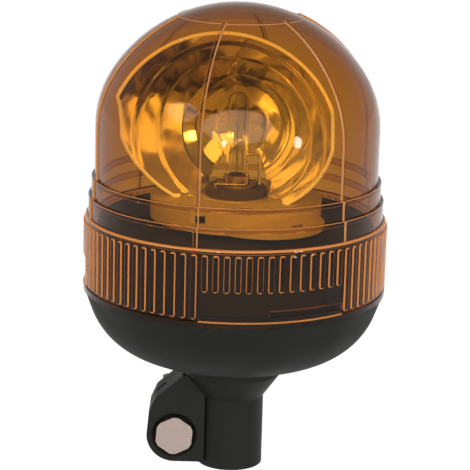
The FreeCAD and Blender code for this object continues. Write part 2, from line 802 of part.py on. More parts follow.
def make_motor_pinion():
    turn = math.pi / 2 + math.pi / size("motor_teeth")
    gear = gear_blank("motor_pinion_blank", "motor_teeth", size("gear_backlash") / 2,
                      "wheel_height + 1", f"{WHEEL_BOTTOM} - 0.5", turn, IDLER_X, MOTOR_Y)
    bore = cylinder("motor_pinion_bore", "motor_shaft_radius", "30", IDLER_X, MOTOR_Y,
                    "plate_bottom")
    sub_part(cut("motor_pinion", gear, bore), "motor_pinion")


def make_ring_gear():
    """The internal gear: a plain ring less an external gear of the same pitch."""
    module = size("gear_module")
    teeth = round(size("ring_teeth"))
    wire = gear_wire(teeth, module, 1.25 * module, module, -size("gear_backlash") / 2)
    cutter = doc.addObject("Part::Feature", "ring_gear_cutter")
    cutter.Shape = Part.Face(wire).extrude(V(0, 0, size(f"ring_gear_height + {2 * OVERCUT}")))
    cutter.Placement = FreeCAD.Placement(V(), FreeCAD.Rotation())
    tie(cutter, Base_z=f"{RING_BOTTOM} - {OVERCUT}")
    blank = cylinder("ring_gear_blank", DRUM_INSIDE, "ring_gear_height", z=RING_BOTTOM)
    sub_part(cut("ring_gear", blank, cutter), "ring_gear")


# ---------------------------------------------------------------- dome

# The dome's section is a shoulder arc that starts upright, and a crown arc
# centred on the axis that meets it without a kink.
CROWN_ROUND = ("((dome_radius - dome_shoulder)^2 + dome_height^2 - dome_shoulder^2)"
               " / (2 * (dome_height - dome_shoulder))")


def dome_points(inset):
    """The dome's three points, moved inwards by inset, with the arcs' radii."""
    share = f"({CROWN_ROUND} - ({inset})) / ({CROWN_ROUND} - dome_shoulder)"
    start = (f"dome_radius - ({inset})", "dome_start")
    meeting = (f"(dome_radius - dome_shoulder) * {share}",
               f"dome_start + dome_height - {CROWN_ROUND}"
               f" + ({CROWN_ROUND} - dome_height) * {share}")
    top = ("0", f"dome_start + dome_height - ({inset})")
    return start, meeting, top, f"dome_shoulder - ({inset})", f"{CROWN_ROUND} - ({inset})"


def dome_upwards(inset):
    start, meeting, top, shoulder, crown = dome_points(inset)
    return [start + (arc(shoulder, 1),), meeting + (arc(crown, 1),), top]


def dome_downwards(inset):
    start, meeting, top, shoulder, crown = dome_points(inset)
    return [top + (arc(crown, -1),), meeting + (arc(shoulder, -1),), start]


# ---------------------------------------------------------------- rotor

DRUM_INSIDE = "drum_radius - drum_wall"
DRUM_BOTTOM = "deck_top + drum_gap"
WEB_BOTTOM = "web_top - web_thickness"
HUB_BOTTOM = "deck_top + thrust_thickness + axial_play"
HUB_TOP = "web_top + 0.4"
FOOT_SCREWS = (("-20", "22"), ("20", "22"))


def turned_place(x, y):
    """A place given in the reflector's own frame, after its turn about the lamp's axis."""
    return (f"({x}) * cos(reflector_turn) + ({y}) * sin(reflector_turn)",
            f"({y}) * cos(reflector_turn) - ({x}) * sin(reflector_turn)")


def make_thrust_washer():
    disc = cylinder("thrust_disc", "hub_radius", "thrust_thickness", z="deck_top")
    hole = cylinder("thrust_hole", "column_radius + bearing_clearance", "thrust_thickness + 2",
                    z="deck_top - 1")
    sub_part(cut("thrust_washer", disc, hole), "thrust_washer")


def hump_solid(name, gap, x, y):
    """The carrier's round-topped hump, grown by gap, standing at a place."""
    hump = turned(name, [
        ("0", DRUM_BOTTOM),
        (f"hump_radius + {gap}", DRUM_BOTTOM),
        (f"hump_radius + {gap}", f"deck_top + hump_side + {gap}",
         arc(f"((hump_radius + {gap})^2 + hump_rise^2) / (2 * hump_rise)", 1)),
        ("0", f"deck_top + hump_side + hump_rise + {gap}"),
    ])
    return tie(hump, Base_x=x, Base_y=y)


def make_carrier():
    drum = turned("drum_turning", [
        ("column_radius + bearing_clearance", HUB_BOTTOM),
        ("hub_radius", HUB_BOTTOM),
        ("hub_radius", WEB_BOTTOM),
        (DRUM_INSIDE, WEB_BOTTOM),
        (DRUM_INSIDE, DRUM_BOTTOM),
        ("drum_radius", DRUM_BOTTOM),
        ("drum_radius", "web_top"),
        ("hub_radius", "web_top"),
        ("hub_radius", HUB_TOP),
        ("column_radius + bearing_clearance", HUB_TOP),
    ])
    hump = hump_solid("hump_turning", "0", "hump_offset_x", "-hump_offset_y")
    core = cylinder("hump_core", f"{DRUM_INSIDE} + 0.6", "web_top - deck_top - 1", z="deck_top")
    lamp_well = cylinder("lamp_well", "hub_radius", "rotor_height + hump_rise", z="deck_top")
    outer_hump = cut("hump_outside", hump, core, lamp_well)
    bosses = []
    holes = [weight_cylinder("weight_pocket")]
    for i, place in enumerate(FOOT_SCREWS):
        x, y = turned_place(*place)
        bosses.append(cylinder(f"foot_boss_{i}", "small_screw_radius + 2", "web_thickness + 1",
                               x, y, f"{WEB_BOTTOM} - 1.5"))
        holes.append(cylinder(f"foot_hole_{i}", "small_screw_radius", "web_thickness + 1",
                              x, y, f"{WEB_BOTTOM} - 1"))
    notch = box("drum_notch", "-20.5", "-13.5", "-drum_radius - 1", "-drum_radius + 7",
                f"{RING_BOTTOM} + ring_gear_height + 0.3", "web_top + 1")
    blank = fuse("carrier_blank", drum, outer_hump, *bosses)
    sub_part(cut("reflector_carrier", blank, notch, *holes), "reflector_carrier")
    sub_part(weight_cylinder("balance_slug"), "balance_weight")


def weight_cylinder(name):
    """The balance weight's round slug, pressed into the hump from below."""
    share = "(drum_radius + 4.4) / sqrt(hump_offset_x^2 + hump_offset_y^2)"
    return cylinder(name, "weight_radius", "5", f"hump_offset_x * {share}",
                    f"-hump_offset_y * {share}", DRUM_BOTTOM)


DISH_RINGS = (12, 21, 26.5, 35, 43.5, 51, 58)


def dish_depth(radius, behind="0"):
    """Distance in front of the focus of the mirror's surface, towards +Y."""
    return f"focal_length + ({behind}) - ({radius})^2 / (4 * focal_length)"


def dish_corners(behind):
    """Half of the stepped dish's section: (distance from the optical axis, depth)."""
    corners = [("0", dish_depth("0", behind))]
    for inner, outer in zip((0,) + DISH_RINGS, DISH_RINGS):
        corners.append((str(outer), f"{dish_depth(str(outer), behind)} + reflector_step"))
        if outer != DISH_RINGS[-1]:
            corners.append((f"{outer} + 0.4", dish_depth(f"{outer} + 0.4", behind)))
    return corners


def dish_solid(name, front, back=None):
    """The dish turned about the optical axis; without back it is filled to its front."""
    body = new_body(name)
    sketch = new_sketch(body, "outline", "XZ")
    face = dish_corners(front)
    if back is None:
        rim = [(str(DISH_RINGS[-1]), "-focal_length * 5"), ("0", "-focal_length * 5")]
        corners = face + rim
    else:
        corners = face + list(reversed(dish_corners(back)))
    draw_outline(sketch, corners)
    feature = body.newObject("PartDesign::Revolution", f"{name}_turning")
    feature.Profile = sketch
    feature.ReferenceAxis = (sketch, ["V_Axis"])
    feature.Angle = 360
    # The body's own Z axis is the optical axis and points away from the viewer.
    body.Placement = FreeCAD.Placement(V(), FreeCAD.Rotation(V(1, 0, 0), -90))
    tie(body, Base_z="focus_height")
    doc.recompute()
    return body


def make_reflector():
    shell = dish_solid("dish_shell", "0", "reflector_wall")
    inset = "lens_wall + reflector_clearance"
    room = turned("rotor_room", [
        ("0", "web_top"),
        (f"dome_radius - ({inset})", "web_top"),
        *dome_upwards(inset),
    ])
    front = padded("dish_front", "XZ", [
        ("-reflector_foot_width / 2", "web_top"),
        ("reflector_foot_width / 2", "web_top", arc("reflector_lower_round", 1)),
        ("reflector_half_width", "focus_height"),
        ("reflector_half_width", "dome_start + dome_height"),
        ("-reflector_half_width", "dome_start + dome_height"),
        ("-reflector_half_width", "focus_height", arc("reflector_lower_round", 1)),
    ], "2 * dome_radius")
    dish = common("dish_trimmed", shell, common("dish_room", room, front))
    foot = box("foot_blank", "-reflector_foot_width / 2", "reflector_foot_width / 2",
               "-hub_radius", "reflector_foot_back", "web_top", "web_top + reflector_foot")
    behind = cut("foot_behind", foot, dish_solid("dish_fill", "reflector_wall / 2"))
    lamp_room = [
        cylinder("head_room", "hub_radius + hump_gap", "head_height + 4.5", z="web_top - 1"),
        cylinder("clip_room", "head_radius - 1", "30", z="web_top - 7"),
    ]
    hump_room = hump_solid(
        "hump_room", "hump_gap",
        "hump_offset_x * cos(reflector_turn) + hump_offset_y * sin(reflector_turn)",
        "hump_offset_x * sin(reflector_turn) - hump_offset_y * cos(reflector_turn)")
    holes = [cylinder(f"dish_foot_hole_{i}", "small_screw_radius", "5", x, y, "web_top - 1")
             for i, (x, y) in enumerate(FOOT_SCREWS)]
    reflector = cut("reflector", fuse("dish_and_foot", dish, behind), hump_room, *lamp_room,
                    *holes)
    sub_part(turned_about_z(reflector, -size("reflector_turn")), "reflector")
    screws = []
    for i, place in enumerate(FOOT_SCREWS):
        x, y = turned_place(*place)
        screws.append(screw(f"foot_screw_{i}", x, y, "web_top + reflector_foot",
                            "reflector_foot + web_thickness", "small_screw_radius",
                            "small_screw_head_radius", "small_screw_head_height"))
    sub_part(group("reflector_screws", screws), "reflector_screws")


# ---------------------------------------------------------------- lamp

HEAD_BOTTOM = "web_top + lamp_head_gap"
HEAD_TOP = f"{HEAD_BOTTOM} + head_height"


def make_column():
    column = turned("column_turning", [
        ("column_bore", "column_bottom"),
        ("column_radius", "column_bottom"),
        ("column_radius", f"{DECK_BOTTOM} - column_flange"),
        ("column_flange_radius", f"{DECK_BOTTOM} - column_flange"),
        ("column_flange_radius", DECK_BOTTOM),
        ("column_radius", DECK_BOTTOM),
        ("column_radius", HEAD_BOTTOM),
        ("column_bore", HEAD_BOTTOM),
    ])
    holes, screws = [], []
    for i in range(3):
        x, y = on_circle("column_screw_circle", 90 + 120 * i)
        seat = f"{DECK_BOTTOM} - column_flange"
        holes.append(cylinder(f"flange_hole_{i}", "small_screw_radius", "column_flange + 2",
                              x, y, f"{seat} - 1"))
        head = cylinder(f"column_screw_head_{i}", "small_screw_head_radius",
                        "small_screw_head_height", x, y, f"{seat} - small_screw_head_height")
        shank = cylinder(f"column_screw_shank_{i}", "small_screw_radius",
                         "column_flange + deck_thickness - 0.7", x, y, seat)
        screws.append(fuse(f"column_screw_{i}", head, shank))
    sub_part(cut("lamp_column", column, *holes), "lamp_column")
    sub_part(group("column_screws", screws), "column_screws")


def make_lamp_head():
    sub_part(turned("lamp_head", [
        ("head_bore", f"{HEAD_BOTTOM} - 5"),
        ("column_bore", f"{HEAD_BOTTOM} - 5"),
        ("column_bore", HEAD_BOTTOM),
        ("head_radius", HEAD_BOTTOM),
        ("head_radius", f"{HEAD_TOP} - 1.2"),
        ("head_radius - 1.2", HEAD_TOP),
        ("head_bore", HEAD_TOP),
    ]), "lamp_head")


FLANGE_TOP = f"{HEAD_TOP} + 1"
GLASS_BOTTOM = f"{FLANGE_TOP} + 1"
GLASS_TOP = f"{FLANGE_TOP} + glass_length - 1"


def make_bulb():
    collar = "head_bore - bulb_base_clearance"
    sub_part(turned("bulb_flange", [
        ("0", f"{HEAD_TOP} - 6"),
        (collar, f"{HEAD_TOP} - 6"),
        (collar, HEAD_TOP),
        ("bulb_flange_radius", HEAD_TOP),
        ("bulb_flange_radius", FLANGE_TOP),
        (collar, FLANGE_TOP),
        (collar, f"{FLANGE_TOP} + 4"),
        ("glass_radius", f"{FLANGE_TOP} + 4"),
        ("glass_radius", GLASS_BOTTOM),
        ("0", GLASS_BOTTOM),
    ]), "bulb_flange")
    shoulder = f"{GLASS_TOP} - glass_radius"
    bore = "glass_radius - glass_wall"
    sub_part(turned("bulb_glass", [
        (bore, GLASS_BOTTOM),
        ("glass_radius", GLASS_BOTTOM),
        ("glass_radius", shoulder, arc("glass_radius", 1)),
        ("0", GLASS_TOP),
        ("0", f"{GLASS_TOP} - glass_wall", arc(bore, -1)),
        (bore, shoulder),
    ]), "bulb_glass")
    coil = cylinder("filament_coil", "0.7", "6", z="focus_height - 3")
    lower = cylinder("filament_lower", "0.35", f"focus_height - 2 - ({GLASS_BOTTOM})",
                     z=GLASS_BOTTOM)
    side = cylinder("filament_side", "0.35", f"focus_height + 3.7 - ({GLASS_BOTTOM})",
                    "2.7", "0", GLASS_BOTTOM)
    bridge = cylinder("filament_bridge", "0.35", "2.9", "0", "0", "focus_height + 3.4", "X")
    tail = cylinder("filament_tail", "0.35", "1.2", z="focus_height + 2.4")
    sub_part(fuse("bulb_filament", coil, lower, side, bridge, tail), "bulb_filament")
    sub_part(box("bulb_terminal", "-3.15", "3.15", "-0.4", "0.4",
                 f"{HEAD_TOP} - 18", f"{HEAD_TOP} - 6"), "bulb_terminal")


def wire_path(points, radius):
    """Straight runs joined by arcs of one radius at the corners."""
    edges = []
    start = points[0]
    for before, corner, after in zip(points, points[1:], points[2:]):
        into = (corner - before).normalize()
        out = (after - corner).normalize()
        angle = into.getAngle(out)
        reach = radius * math.tan(angle / 2)
        first, last = corner - into * reach, corner + out * reach
        inward = (out - into).normalize()
        middle = corner + inward * (radius / math.cos(angle / 2) - radius)
        edges.append(Part.makeLine(start, first))
        edges.append(Part.Arc(first, middle, last).toShape())
        start = last
    edges.append(Part.makeLine(start, points[-1]))
    return Part.Wire(edges)


def swept_wire(name, points, bend, radius):
    """A round wire along a path of points with rounded corners."""
    path = wire_path(points, bend)
    start = path.Edges[0].tangentAt(path.Edges[0].FirstParameter)
    ring = Part.Wire(Part.makeCircle(radius, points[0], start))
    thing = doc.addObject("Part::Feature", name)
    thing.Shape = path.makePipeShell([ring], True, False)
    return thing


def make_clip():
    wire = size("clip_wire_radius")
    side = size("head_bore + clip_wire_radius + clip_gap")
    level = size(FLANGE_TOP) + wire
    top = level + size("clip_loop_height")
    left, near, far = -size("bulb_flange_radius") - 0.4, 4.6, size("head_radius") - 4.1
    points = [V(left, -side, size(HEAD_TOP)), V(left, -side, level), V(near, -side, level),
              V(near, -side, top), V(far, -side, top), V(far, -side, level),
              V(far, side, level), V(left, side, level), V(left, side, size(HEAD_TOP))]
    clip = swept_wire("clip_wire", points, 0.8, wire)
    sub_part(clip, "bulb_clip")


# ---------------------------------------------------------------- lens

def lens_profile():
    """Radii and heights of the lens's outside, from the lip to the dome."""
    skirt_top = "lens_base + skirt_height"
    step_1 = f"{skirt_top} + lens_step_height"
    step_2 = f"{step_1} + lens_step_height"
    return skirt_top, step_1, step_2


SHORT_FLUTES = 14
LONG_FLUTES = 16


def flute(bottom, top):
    """One round-ended bar on the skirt at the +X side, sunk halfway into the wall."""
    half = size("flute_width / 2")
    inside, outside = size("skirt_radius - lens_wall / 2"), size("skirt_radius + flute_height")
    low, high = size(f"lens_base + {bottom}") + half, size(f"lens_base + {top}") - half
    edges = [
        Part.makeLine(V(inside, -half, low), V(inside, -half, high)),
        Part.Arc(V(inside, -half, high), V(inside, 0, high + half), V(inside, half, high)).toShape(),
        Part.makeLine(V(inside, half, high), V(inside, half, low)),
        Part.Arc(V(inside, half, low), V(inside, 0, low - half), V(inside, -half, low)).toShape(),
    ]
    return Part.Face(Part.Wire(edges)).extrude(V(outside - inside, 0, 0))


def flutes():
    """Three panels of short flutes alternate with three sections of long ones."""
    short = flute("short_flute_bottom", "flute_top")
    long = flute("flute_bottom", "flute_top")
    pitch = size("flute_pitch")
    bars = []
    for third in range(3):
        angle = 120 * third + size("panel_start") - 90 + pitch / 2
        for _ in range(SHORT_FLUTES):
            bars.append(short.rotated(V(), Z_AXIS, angle))
            angle += pitch
        for _ in range(LONG_FLUTES):
            bars.append(long.rotated(V(), Z_AXIS, angle))
            angle += pitch
    thing = doc.addObject("Part::Feature", "skirt_flutes")
    thing.Shape = Part.makeCompound(bars)
    return thing


def make_lens():
    skirt_top, step_1, step_2 = lens_profile()
    lip_top = "lens_base + lens_lip_height"
    lens = turned("lens_turning", [
        ("lens_inside", "lens_base"),
        ("lens_lip_radius", "lens_base"),
        ("lens_lip_radius", lip_top),
        ("skirt_radius", f"{lip_top} + 0.8"),
        ("skirt_radius", skirt_top),
        ("lower_step_radius", skirt_top),
        ("lower_step_radius", step_1),
        ("upper_step_radius", step_1),
        ("upper_step_radius", step_2),
        ("dome_radius", step_2),
        *dome_upwards("0"),
        *dome_downwards("lens_wall"),
        ("dome_radius - lens_wall", f"{step_2} - lens_wall"),
        ("upper_step_radius - lens_wall", f"{step_2} - lens_wall"),
        ("upper_step_radius - lens_wall", f"{step_1} - lens_wall"),
        ("lower_step_radius - lens_wall", f"{step_1} - lens_wall"),
        ("lower_step_radius - lens_wall", f"{skirt_top} - lens_wall"),
        ("lens_inside", f"{skirt_top} - lens_wall"),
    ])
    ridge = turned("rib_ridge", [
        ("lower_step_radius + rib_height", skirt_top),
        ("lower_step_radius + rib_height", step_1),
        ("upper_step_radius + rib_height", step_1),
        ("upper_step_radius + rib_height", step_2),
        ("dome_radius + rib_height", step_2),
        *dome_upwards("-rib_height"),
        *dome_downwards("lens_wall / 2"),
        ("dome_radius - lens_wall / 2", skirt_top),
    ])
    bars = []
    for i in range(3):
        bar = box(f"rib_bar_{i}", "-skirt_radius", "skirt_radius", "-rib_width / 2",
                  "rib_width / 2", skirt_top, "dome_start + dome_height")
        turn = FreeCAD.Rotation(Z_AXIS, size("rib_start_angle") - 90 + 60 * i)
        centre = turn.multVec(V(-size("skirt_radius"), -size("rib_width") / 2, 0))
        bar.setExpression("Placement.Base.x", None)
        bar.setExpression("Placement.Base.y", None)
        bar.Placement = FreeCAD.Placement(centre + V(0, 0, size(skirt_top)), turn)
        bars.append(bar)
    crown = cylinder("crown_ring_outside", "crown_radius", "dome_height", z="dome_start")
    inside = cylinder("crown_ring_inside", "crown_radius - crown_ring_width", "dome_height",
                      z="dome_start")
    ribs = cut("rib_lengths", fuse("rib_bars", *bars), crown)
    ridges = common("seam_ribs", ridge, fuse("ribs_and_ring", ribs, cut("crown_ring", crown, inside)))
    ledges = []
    bottom = "lens_base + bayonet_ledge_height"
    for i in range(3):
        ledges.append(sector(f"bayonet_ledge_{i}", "lens_inside - bayonet_reach",
                             "skirt_radius - lens_wall / 2", bottom,
                             f"{bottom} + bayonet_ledge_thickness",
                             f"bayonet_start - 90 + {120 * i}", "bayonet_width"))
    sub_part(fuse("lens", lens, ridges, flutes(), *ledges), "lens")


def make_seal():
    bottom = "lens_base + chassis_flange"
    sub_part(turned("lens_seal", [
        ("chassis_radius", bottom),
        ("lens_inside - seal_gap", bottom),
        ("lens_inside - seal_gap", f"{bottom} + seal_thickness"),
        ("chassis_radius", f"{bottom} + seal_thickness"),
    ]), "lens_seal")


# ---------------------------------------------------------------- build and export

def check_document():
    doc.recompute()
    for thing in doc.Objects:
        if "Invalid" in thing.State or "Error" in thing.State:
            raise RuntimeError(f"{thing.Name} failed: {thing.State}")
    for part in sub_parts:
        if part.Shape.isNull() or not part.Shape.isValid() or part.Shape.Volume <= 0:
            raise RuntimeError(f"{part.Label} has no sound shape")


def export():
    os.makedirs("parts", exist_ok=True)
    for part in sub_parts:
        part.Shape.exportStep(os.path.join("parts", f"{part.Label}.step"))
        print(f"{part.Label}: {len(part.Shape.Solids)} solid(s), {part.Shape.Volume:.1f} mm3")


for make in (make_pole_clamp, make_clamp_bolt, make_washer, make_wing_nut, make_clamp_ring,
             make_contact, make_bowl, make_chassis, make_gear_plate, make_motor, make_idler,
             make_motor_pinion, make_ring_gear, make_thrust_washer, make_carrier,
             make_reflector, make_column, make_lamp_head, make_bulb, make_clip, make_lens,
             make_seal):
    make()

check_document()
export()
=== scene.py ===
import json
import math

import bmesh
import bpy
from mathutils import Matrix, Vector


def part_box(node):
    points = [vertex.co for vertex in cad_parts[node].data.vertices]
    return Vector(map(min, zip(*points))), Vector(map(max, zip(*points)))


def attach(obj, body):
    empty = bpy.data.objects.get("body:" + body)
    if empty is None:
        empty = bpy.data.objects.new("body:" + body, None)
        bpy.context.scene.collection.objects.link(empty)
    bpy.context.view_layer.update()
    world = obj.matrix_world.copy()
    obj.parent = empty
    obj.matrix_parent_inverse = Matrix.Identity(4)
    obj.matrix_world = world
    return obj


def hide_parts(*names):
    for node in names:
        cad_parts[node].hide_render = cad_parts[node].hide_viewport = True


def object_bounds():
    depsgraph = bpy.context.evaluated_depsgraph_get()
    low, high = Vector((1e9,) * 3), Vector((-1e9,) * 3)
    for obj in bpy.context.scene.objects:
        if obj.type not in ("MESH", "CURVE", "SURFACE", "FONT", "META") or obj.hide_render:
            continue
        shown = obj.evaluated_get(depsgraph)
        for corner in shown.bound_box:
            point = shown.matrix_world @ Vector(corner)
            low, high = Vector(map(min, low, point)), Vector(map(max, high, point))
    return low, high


# Looks of the rotating beacon.  The lens, the mirror and the wing nut are modelled again as
# finer meshes; every other piece keeps its CAD shape and gets a finish.
#
# Lengths are in millimetres and become metres through MM, except on the stage, whose lights,
# floor and camera are placed in metres.  phi is an angle in degrees about the lamp's axis,
# from the front (-Y) towards +X.

MM = 0.001
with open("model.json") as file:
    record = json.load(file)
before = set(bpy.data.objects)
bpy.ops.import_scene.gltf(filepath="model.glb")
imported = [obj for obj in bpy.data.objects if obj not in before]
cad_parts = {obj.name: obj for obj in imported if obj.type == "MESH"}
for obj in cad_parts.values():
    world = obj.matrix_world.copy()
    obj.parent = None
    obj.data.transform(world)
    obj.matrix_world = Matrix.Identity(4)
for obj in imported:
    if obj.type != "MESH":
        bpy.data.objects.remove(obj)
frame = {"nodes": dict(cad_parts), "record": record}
cad_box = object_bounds()


# ---------------------------------------------------------------- mesh tools

def new_object(name, data):
    piece = bpy.data.objects.new(name, data)
    bpy.context.scene.collection.objects.link(piece)
    return piece


def mesh_object(name, points, faces, smooth=True):
    """A mesh from points in millimetres."""
    mesh = bpy.data.meshes.new(name)
    mesh.from_pydata([Vector(p) * MM for p in points], [], faces)
    mesh.polygons.foreach_set("use_smooth", [smooth] * len(mesh.polygons))
    mesh.update()
    return new_object(name, mesh)


def grid_faces(rows, columns, wrap_rows=False):
    """Quads of a grid whose columns close on themselves."""
    faces = []
    last = rows if wrap_rows else rows - 1
    for i in range(last):
        below, above = i * columns, ((i + 1) % rows) * columns
        for j in range(columns):
            k = (j + 1) % columns
            faces.append((below + j, below + k, above + k, above + j))
    return faces


def turned(name, profile, steps=96, axis="Z"):
    """A closed solid of revolution; the profile is (radius, height) from axis to axis."""
    ring = profile[1:-1]
    points = []
    for radius, height in ring:
        for j in range(steps):
            angle = 2 * math.pi * j / steps
            points.append((radius * math.sin(angle), -radius * math.cos(angle), height))
    faces = grid_faces(len(ring), steps)
    low, high = len(points), len(points) + 1
    points += [(0, 0, profile[0][1]), (0, 0, profile[-1][1])]
    top = (len(ring) - 1) * steps
    for j in range(steps):
        k = (j + 1) % steps
        faces.append((low, k, j))
        faces.append((high, top + j, top + k))
    if axis == "Y":
        points = [(x, z, -y) for x, y, z in points]
    return mesh_object(name, points, faces)


def prism(name, outline, low, high, axis="Z"):
    """A closed prism along Z over an outline of (x, y), or along Y over one of (x, z)."""
    count = len(outline)
    points = [(x, y, level) for level in (low, high) for x, y in outline]
    faces = [tuple(reversed(range(count))), tuple(range(count, 2 * count))]
    for i in range(count):
        k = (i + 1) % count
        faces.append((i, k, count + k, count + i))
    if axis == "Y":
        # Exchanging two coordinates turns the faces inside out, so they are turned back.
        points = [(x, z, y) for x, y, z in points]
        faces = [tuple(reversed(face)) for face in faces]
    piece = mesh_object(name, points, faces, smooth=False)
    smooth_by_angle(piece, 25)
    return piece


def tube(name, path, radius, sides=10):
    """A round tube along a path, with flat ends."""
    places = [Vector(p) for p in path]
    points = []
    for i, place in enumerate(places):
        along = (places[min(i + 1, len(places) - 1)] - places[max(i - 1, 0)]).normalized()
        side = along.cross(Vector((0, 1, 0))).normalized()
        up = along.cross(side)
        for j in range(sides):
            turn = 2 * math.pi * j / sides
            points.append(place + side * radius * math.cos(turn) + up * radius * math.sin(turn))
    faces = grid_faces(len(places), sides)
    last = (len(places) - 1) * sides
    faces.append(tuple(reversed(range(sides))))
    faces.append(tuple(last + j for j in range(sides)))
    piece = mesh_object(name, points, faces)
    smooth_by_angle(piece, 50)
    return piece


def boolean(piece, tool, operation):
    """Cut or trim a piece with a tool and keep the result as its mesh."""
    change = piece.modifiers.new("trim", "BOOLEAN")
    change.operation = operation
    change.solver = "EXACT"
    change.object = tool
    apply_modifiers(piece)
    bpy.data.objects.remove(tool)


def apply_modifiers(piece):
    shapes = bpy.context.evaluated_depsgraph_get()
    mesh = bpy.data.meshes.new_from_object(piece.evaluated_get(shapes))
    piece.modifiers.clear()
    piece.data = mesh


def smooth_by_angle(piece, degrees):
    """Smooth shading with outward normals; edges sharper than the angle stay sharp."""
    work = bmesh.new()
    work.from_mesh(piece.data)
    bmesh.ops.recalc_face_normals(work, faces=work.faces)
    for face in work.faces:
        face.smooth = True
    limit = math.radians(degrees)
    for edge in work.edges:
        edge.smooth = len(edge.link_faces) == 2 and edge.calc_face_angle(0) < limit
    work.to_mesh(piece.data)
    work.free()


# ---------------------------------------------------------------- material tools

class Shader:
    """A small helper around one material's node tree."""

    def __init__(self, name):
        self.material = bpy.data.materials.new(name)
        self.material.use_nodes = True
        self.tree = self.material.node_tree
        self.tree.nodes.clear()
        self.output = self.node("ShaderNodeOutputMaterial")

    def node(self, kind, **settings):
        node = self.tree.nodes.new(kind)
        for key, value in settings.items():
            setattr(node, key, value)
        return node

    def link(self, source, target):
        self.tree.links.new(source, target)

    def surface(self, shader):
        self.link(shader.outputs[0], self.output.inputs["Surface"])

    def principled(self, color, roughness, **inputs):
        node = self.node("ShaderNodeBsdfPrincipled")
        node.inputs["Base Color"].default_value = (*color, 1)
        node.inputs["Roughness"].default_value = roughness
        for key, value in inputs.items():
            node.inputs[key.replace("_", " ")].default_value = value
        return node

    def place(self, scale=(1, 1, 1)):
        """Object coordinates in millimetres, stretched by scale."""
        coordinates = self.node("ShaderNodeTexCoord")
        mapping = self.node("ShaderNodeMapping")
        mapping.inputs["Scale"].default_value = [s / MM for s in scale]
        self.link(coordinates.outputs["Object"], mapping.inputs["Vector"])
        return mapping.outputs["Vector"]

    def noise(self, vector, scale, detail=3.0):
        node = self.node("ShaderNodeTexNoise")
        node.inputs["Scale"].default_value = scale
        node.inputs["Detail"].default_value = detail
        self.link(vector, node.inputs["Vector"])
        return node.outputs["Fac"]

    def ramp(self, value, low, high, start=0.3, end=0.7):
        """Map a value from start..end onto low..high, which are numbers or colours."""
        if isinstance(low, tuple):
            node = self.node("ShaderNodeMix", data_type="RGBA")
            node.inputs["A"].default_value = (*low, 1)
            node.inputs["B"].default_value = (*high, 1)
            self.link(self.ramp(value, 0.0, 1.0, start, end), node.inputs["Factor"])
            return node.outputs["Result"]
        node = self.node("ShaderNodeMapRange")
        for key, number in (("From Min", start), ("From Max", end), ("To Min", low),
                            ("To Max", high)):
            node.inputs[key].default_value = number
        self.link(value, node.inputs["Value"])
        return node.outputs["Result"]

    def largest(self, first, *others):
        """The largest of several values."""
        for other in others:
            node = self.node("ShaderNodeMath", operation="MAXIMUM")
            self.link(first, node.inputs[0])
            self.link(other, node.inputs[1])
            first = node.outputs[0]
        return first

    def blend(self, share, first, second):
        """A mix of two shaders: the first at share 0, the second at share 1."""
        node = self.node("ShaderNodeMixShader")
        self.link(share, node.inputs[0])
        self.link(first.outputs[0], node.inputs[1])
        self.link(second.outputs[0], node.inputs[2])
        return node

    # Emission on pieces that are no lamps: used here only for painted glow.
    def glow(self, shader, color, strength):
        shader.inputs["Emission Color"].default_value = (*color, 1)
        shader.inputs["Emission Strength"].default_value = strength

    def bump(self, shader, height, strength, distance):
        """Relief on a shader's normal; distance is in millimetres."""
        node = self.node("ShaderNodeBump")
        node.inputs["Strength"].default_value = strength
        node.inputs["Distance"].default_value = distance * MM
        self.link(height, node.inputs["Height"])
        self.link(node.outputs["Normal"], shader.inputs["Normal"])


def moulded(name, color, roughness, grain=0.3, wear=0.25):
    """Moulded plastic or rubber: fine grain, and patches a little duller or glossier."""
    s = Shader(name)
    place = s.place()
    shader = s.principled(color, roughness, Specular_IOR_Level=0.15)
    patches = s.noise(place, 0.05, 2.0)
    lighter = tuple(min(1.0, c * (1 + wear)) for c in color)
    s.link(s.ramp(patches, color, lighter), shader.inputs["Base Color"])
    s.link(s.ramp(patches, roughness - 0.06, roughness + 0.08), shader.inputs["Roughness"])
    s.bump(shader, s.noise(place, 1.6, 4.0), grain, 0.05)
    s.surface(shader)
    return s.material


def metal(name, color, roughness, stretch=(1, 1, 1), scratch=0.25):
    """Plated or drawn metal; its fine streaks run along the axis that stretch makes small."""
    s = Shader(name)
    shader = s.principled(color, roughness, Metallic=1.0)
    streaks = s.noise(s.place(stretch), 1.2, 5.0)
    dull = tuple(c * 0.86 for c in color)
    s.link(s.ramp(streaks, dull, color), shader.inputs["Base Color"])
    s.link(s.ramp(streaks, roughness - 0.05, roughness + 0.12), shader.inputs["Roughness"])
    s.bump(shader, streaks, scratch, 0.02)
    s.surface(shader)
    return s.material


AMBER_DEPTH = (0.80, 0.62, 0.09)    # absorption colour of the amber plastic
AMBER_DENSITY = 900.0               # per metre
